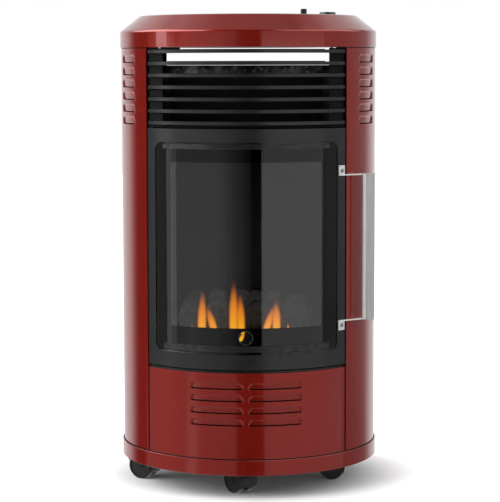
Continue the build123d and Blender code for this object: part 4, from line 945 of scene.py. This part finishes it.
# name, finish, and the share of the width and of the height
LAYERS = [
    ("flame_outer", outer_flame, 1.0, 1.0),
    ("flame_middle", middle_flame, 0.78, 0.9),
    ("flame_inner", inner_flame, 0.5, 0.78),
]
for layer, material, wide, tall in LAYERS:
    tongues = []
    for number, (foot_x, tip_x, tip_z, width) in enumerate(TONGUES):
        foot = (foot_x, FLAME_Y, FLAME_FOOT)
        tip = (foot_x + (tip_x - foot_x) * tall, FLAME_Y, FLAME_FOOT + (tip_z - FLAME_FOOT) * tall)
        tongues.append(tongue(f"{layer}_{number}", foot, tip, width * wide, width * wide))
    dress(join(layer, tongues), material, "cabinet")

# %% [markdown]
# The pilot flame is a short tongue that licks sideways from the pilot burner towards the
# thermocouple. It shows through the sight hole.

# %% Pilot flame
pilot = tongue("pilot_flame", (-0.0098, FLAME_Y, 0.2595), (-0.0022, FLAME_Y, 0.2765),
               0.0065, 0.005)
dress(pilot, inner_flame, "cabinet")

# %% [markdown]
# ### Screw heads
#
# A pan-head screw with a cross recess: a short cylinder with a rounded edge, and two crossed
# tapered blocks cut out of it. A cut recess catches the light from any side, which a bump would
# not. The screw is modelled once, and each one is a copy with its own mesh. Two of them hold the
# handle.

# %% Screws
def screw_pattern(radius, height):
    """Pan head with a cross recess, its seat at z = 0 and its axis on +Z."""
    head = start_piece("screw_pattern", bpy.ops.mesh.primitive_cylinder_add, vertices=40,
                       radius=radius, depth=height, location=(0, 0, height / 2))
    apply_all(head)
    edit(head, lambda centre, along: centre.z > height - 1e-5 and abs(along.z) < 1e-6, "EDGE")
    bpy.ops.mesh.bevel(offset=height * 0.55, segments=5, affect="EDGES")
    leave_edit()
    for turn, taper in ((0, (0.5, 0.8, 1.0)), (90, (0.8, 0.5, 1.0))):
        recess = start_piece("recess", bpy.ops.mesh.primitive_cube_add, size=1.0,
                             location=(0, 0, height), rotation=(0, 0, math.radians(turn)),
                             scale=(radius * 1.15, radius * 0.30, height * 1.1))
        apply_all(recess)
        edit(recess, lambda centre, normal: normal.z < -0.9)
        bpy.ops.transform.resize(value=taper, center_override=(0, 0, 0))
        leave_edit()
        cut(head, recess)
    smooth(head, 30)
    return head


def screws_at(name, places, radius, height):
    """Copies of the screw at (radius from the middle, azimuth, height) places, facing outwards."""
    pattern = screw_pattern(radius, height)
    copies = []
    for number, (distance, azimuth, level) in enumerate(places):
        copy = pattern.copy()
        copy.data = pattern.data.copy()
        bpy.context.scene.collection.objects.link(copy)
        twist = Matrix.Rotation(math.radians(17 + 41 * number), 4, "Z")
        lay = Matrix.Rotation(math.radians(90), 4, "X")
        face = Matrix.Rotation(math.radians(azimuth), 4, "Z") @ lay
        copy.matrix_world = Matrix.Translation(on_body(distance, azimuth, level)) @ face @ twist
        copies.append(apply_all(copy))
    bpy.data.objects.remove(pattern, do_unlink=True)
    return join(name, copies)


HANDLE_LOW, HANDLE_HIGH = 0.2879, 0.5323    # ends of the handle
HANDLE_SHEET, TAB_HALF = 0.002, 0.0085      # its thickness, half the height of a screw tab
TAB_FACE, TAB_AZIMUTH = 0.2195, 46.08       # radius of a tab's outer face, azimuth of its middle
HEAD_RADIUS, HEAD_HEIGHT = 0.0036, 0.0013
tab_heights = (HANDLE_LOW + HANDLE_SHEET - TAB_HALF, HANDLE_HIGH - HANDLE_SHEET + TAB_HALF)
tab_places = [(TAB_FACE, TAB_AZIMUTH, level) for level in tab_heights]
handle_heads = screws_at("handle_screw_heads", tab_places, HEAD_RADIUS, HEAD_HEIGHT)
dress(handle_heads, screw_steel, "front_door", ["handle_screws"])

# %% [markdown]
# ### Painted shade under the cap
#
# A thin black strip closes the joint between the cap and each side panel: painted shade, where the
# joint is dark. The joint could be left open, but a strip keeps the line evenly black from every
# side. It is spun like the glass.

# %% Strips of painted shade
SHADE_STRIP_RADIUS, SHADE_STRIP_SHEET = 0.2173, 0.0004
SHADE_STRIP_LOW, SHADE_STRIP_HIGH = 0.74035, 0.74155
SHADE_STRIP_SIDE = 90.5    # azimuth of each strip's middle
strips = []
for number, side in enumerate((-1, 1)):
    strip = curved_strip(f"gasket_{number}", SHADE_STRIP_RADIUS, 40.0, SHADE_STRIP_LOW, SHADE_STRIP_HIGH,
                         SHADE_STRIP_SHEET, steps=80)
    strip.rotation_euler = (0, 0, math.radians(side * SHADE_STRIP_SIDE))
    strips.append(apply_all(strip))
# the strips are near black, painted shade in the joint
dress(join("cap_joint_shade", strips), joint_shade_black, "cabinet")

# %% [markdown]
# ### Pressed louvres
#
# The lower panel and the two side panels have louvres pressed inwards: a shallow pocket with a
# rolled outline, deepest at its lower edge, where the sheet is slit open. Pockets that are cut in
# with booleans would have hard edges, so each panel is one curved grid that is bent point by point.
# Its rows and columns are close only around the louvres, every point is pushed back by the depth of
# the pocket there, and the faces of the slits are left out. A Solidify modifier gives the sheet its
# thickness.

# %% The shape of a louvre
PANEL_RADIUS, PANEL_SHEET = 0.2183, 0.0010
SLIT = 0.0017                    # height of the slit at a louvre's lower edge
POCKET = 0.0030                  # depth of a pocket at its lower edge
POCKET_WALL = 0.0024             # how far from its outline a pocket reaches its full depth
ROW_STEP = 0.0011                # between the rows inside a pocket
ROW_BELOW = 0.0008               # from a slit down to a row that keeps the shading even there
ROWS_ABOVE = (0.0006, 0.0014)    # from the top of a pocket up to two more such rows
FINE, COARSE = 0.3, 1.0          # degrees between columns, at the louvres and beside them


def steps_between(start, end, step):
    """Evenly spaced values from start towards end, without the end itself."""
    count = max(1, round((end - start) / step))
    return [start + (end - start) * index / count for index in range(count)]


def pocket_depth(across, up, width, height):
    """How far the sheet is pushed back at a place, measured from the middle of the lower edge."""
    corner = 0.7 * height    # radius of the rounded upper corners
    past_side = abs(across) - (width / 2 - corner)
    past_top = up - (height - corner)
    if past_side > 0 and past_top > 0:
        inside = corner - math.hypot(past_side, past_top)
    else:
        inside = min(width / 2 - abs(across), height - up)
    if up <= 0 or inside <= 0:
        return 0.0
    wall = min(inside / POCKET_WALL, 1.0)
    return POCKET * wall * wall * (3 - 2 * wall) * (0.50 + 0.50 * (1 - up / height))


# %% A pressed panel
def pressed_panel(node_name, start, end, centres, lower_edges, width, height):
    """Panel between two azimuths, with louvres at every centre azimuth and lower edge."""
    node = nodes[node_name]
    levels = [(node.matrix_world @ Vector(corner)).z for corner in node.bound_box]
    rows = [min(levels)]
    for low in lower_edges:
        top_rows = [low + height + above for above in ROWS_ABOVE]
        rows += [low - ROW_BELOW, low, low + SLIT]
        rows += steps_between(low + SLIT + ROW_STEP, top_rows[0], ROW_STEP) + top_rows
    rows.append(max(levels))
    reach = math.degrees(width / 2 / PANEL_RADIUS) + 0.5
    near, far = min(centres) - reach, max(centres) + reach
    columns = steps_between(start, near, COARSE) + steps_between(near, far, FINE)
    columns += steps_between(far, end, COARSE) + [end]

    def depth_at(azimuth, level):
        """Depth at a place on the panel, from whichever louvre is there."""
        return max(pocket_depth(math.radians(azimuth - centre) * PANEL_RADIUS, level - low,
                                width, height)
                   for centre in centres for low in lower_edges)

    mesh = bmesh.new()
    points = [[mesh.verts.new(on_body(PANEL_RADIUS - depth_at(azimuth, level), azimuth, level))
               for azimuth in columns] for level in rows]
    for row in range(len(rows) - 1):
        slit = any(abs(rows[row] - low) < 1e-6 for low in lower_edges)
        for column in range(len(columns) - 1):
            middle = (columns[column] + columns[column + 1]) / 2
            if slit and depth_at(middle, rows[row + 1]) > 0.5 * POCKET:
                continue
            mesh.faces.new((points[row][column], points[row][column + 1],
                            points[row + 1][column + 1], points[row + 1][column]))
    data = bpy.data.meshes.new(node_name + "_sheet")
    mesh.to_mesh(data)
    mesh.free()
    panel = bpy.data.objects.new(node_name + "_sheet", data)
    bpy.context.scene.collection.objects.link(panel)
    solid = panel.modifiers.new("thickness", "SOLIDIFY")
    solid.thickness = PANEL_SHEET
    solid.offset = -1.0
    smooth(apply_all(panel), 45)
    dress(panel, red_enamel, "cabinet", [node_name])


# %% Pressed panels
lower_rows = [0.122 + 0.0202 * row for row in range(4)]
side_rows = [0.6136 + 0.0205 * row for row in range(6)]
# azimuths of both ends, azimuths and lower edges of the louvres, their width and height
pressed_panel("lower_front_panel", -48.5, 48.5, (-13.1, 13.1), lower_rows, 0.0906, 0.0115)
pressed_panel("right_side_panel", 49.4, 131.0, (67.7,), side_rows, 0.066, 0.0142)
pressed_panel("left_side_panel", -131.0, -49.4, (-67.7,), side_rows, 0.066, 0.0142)
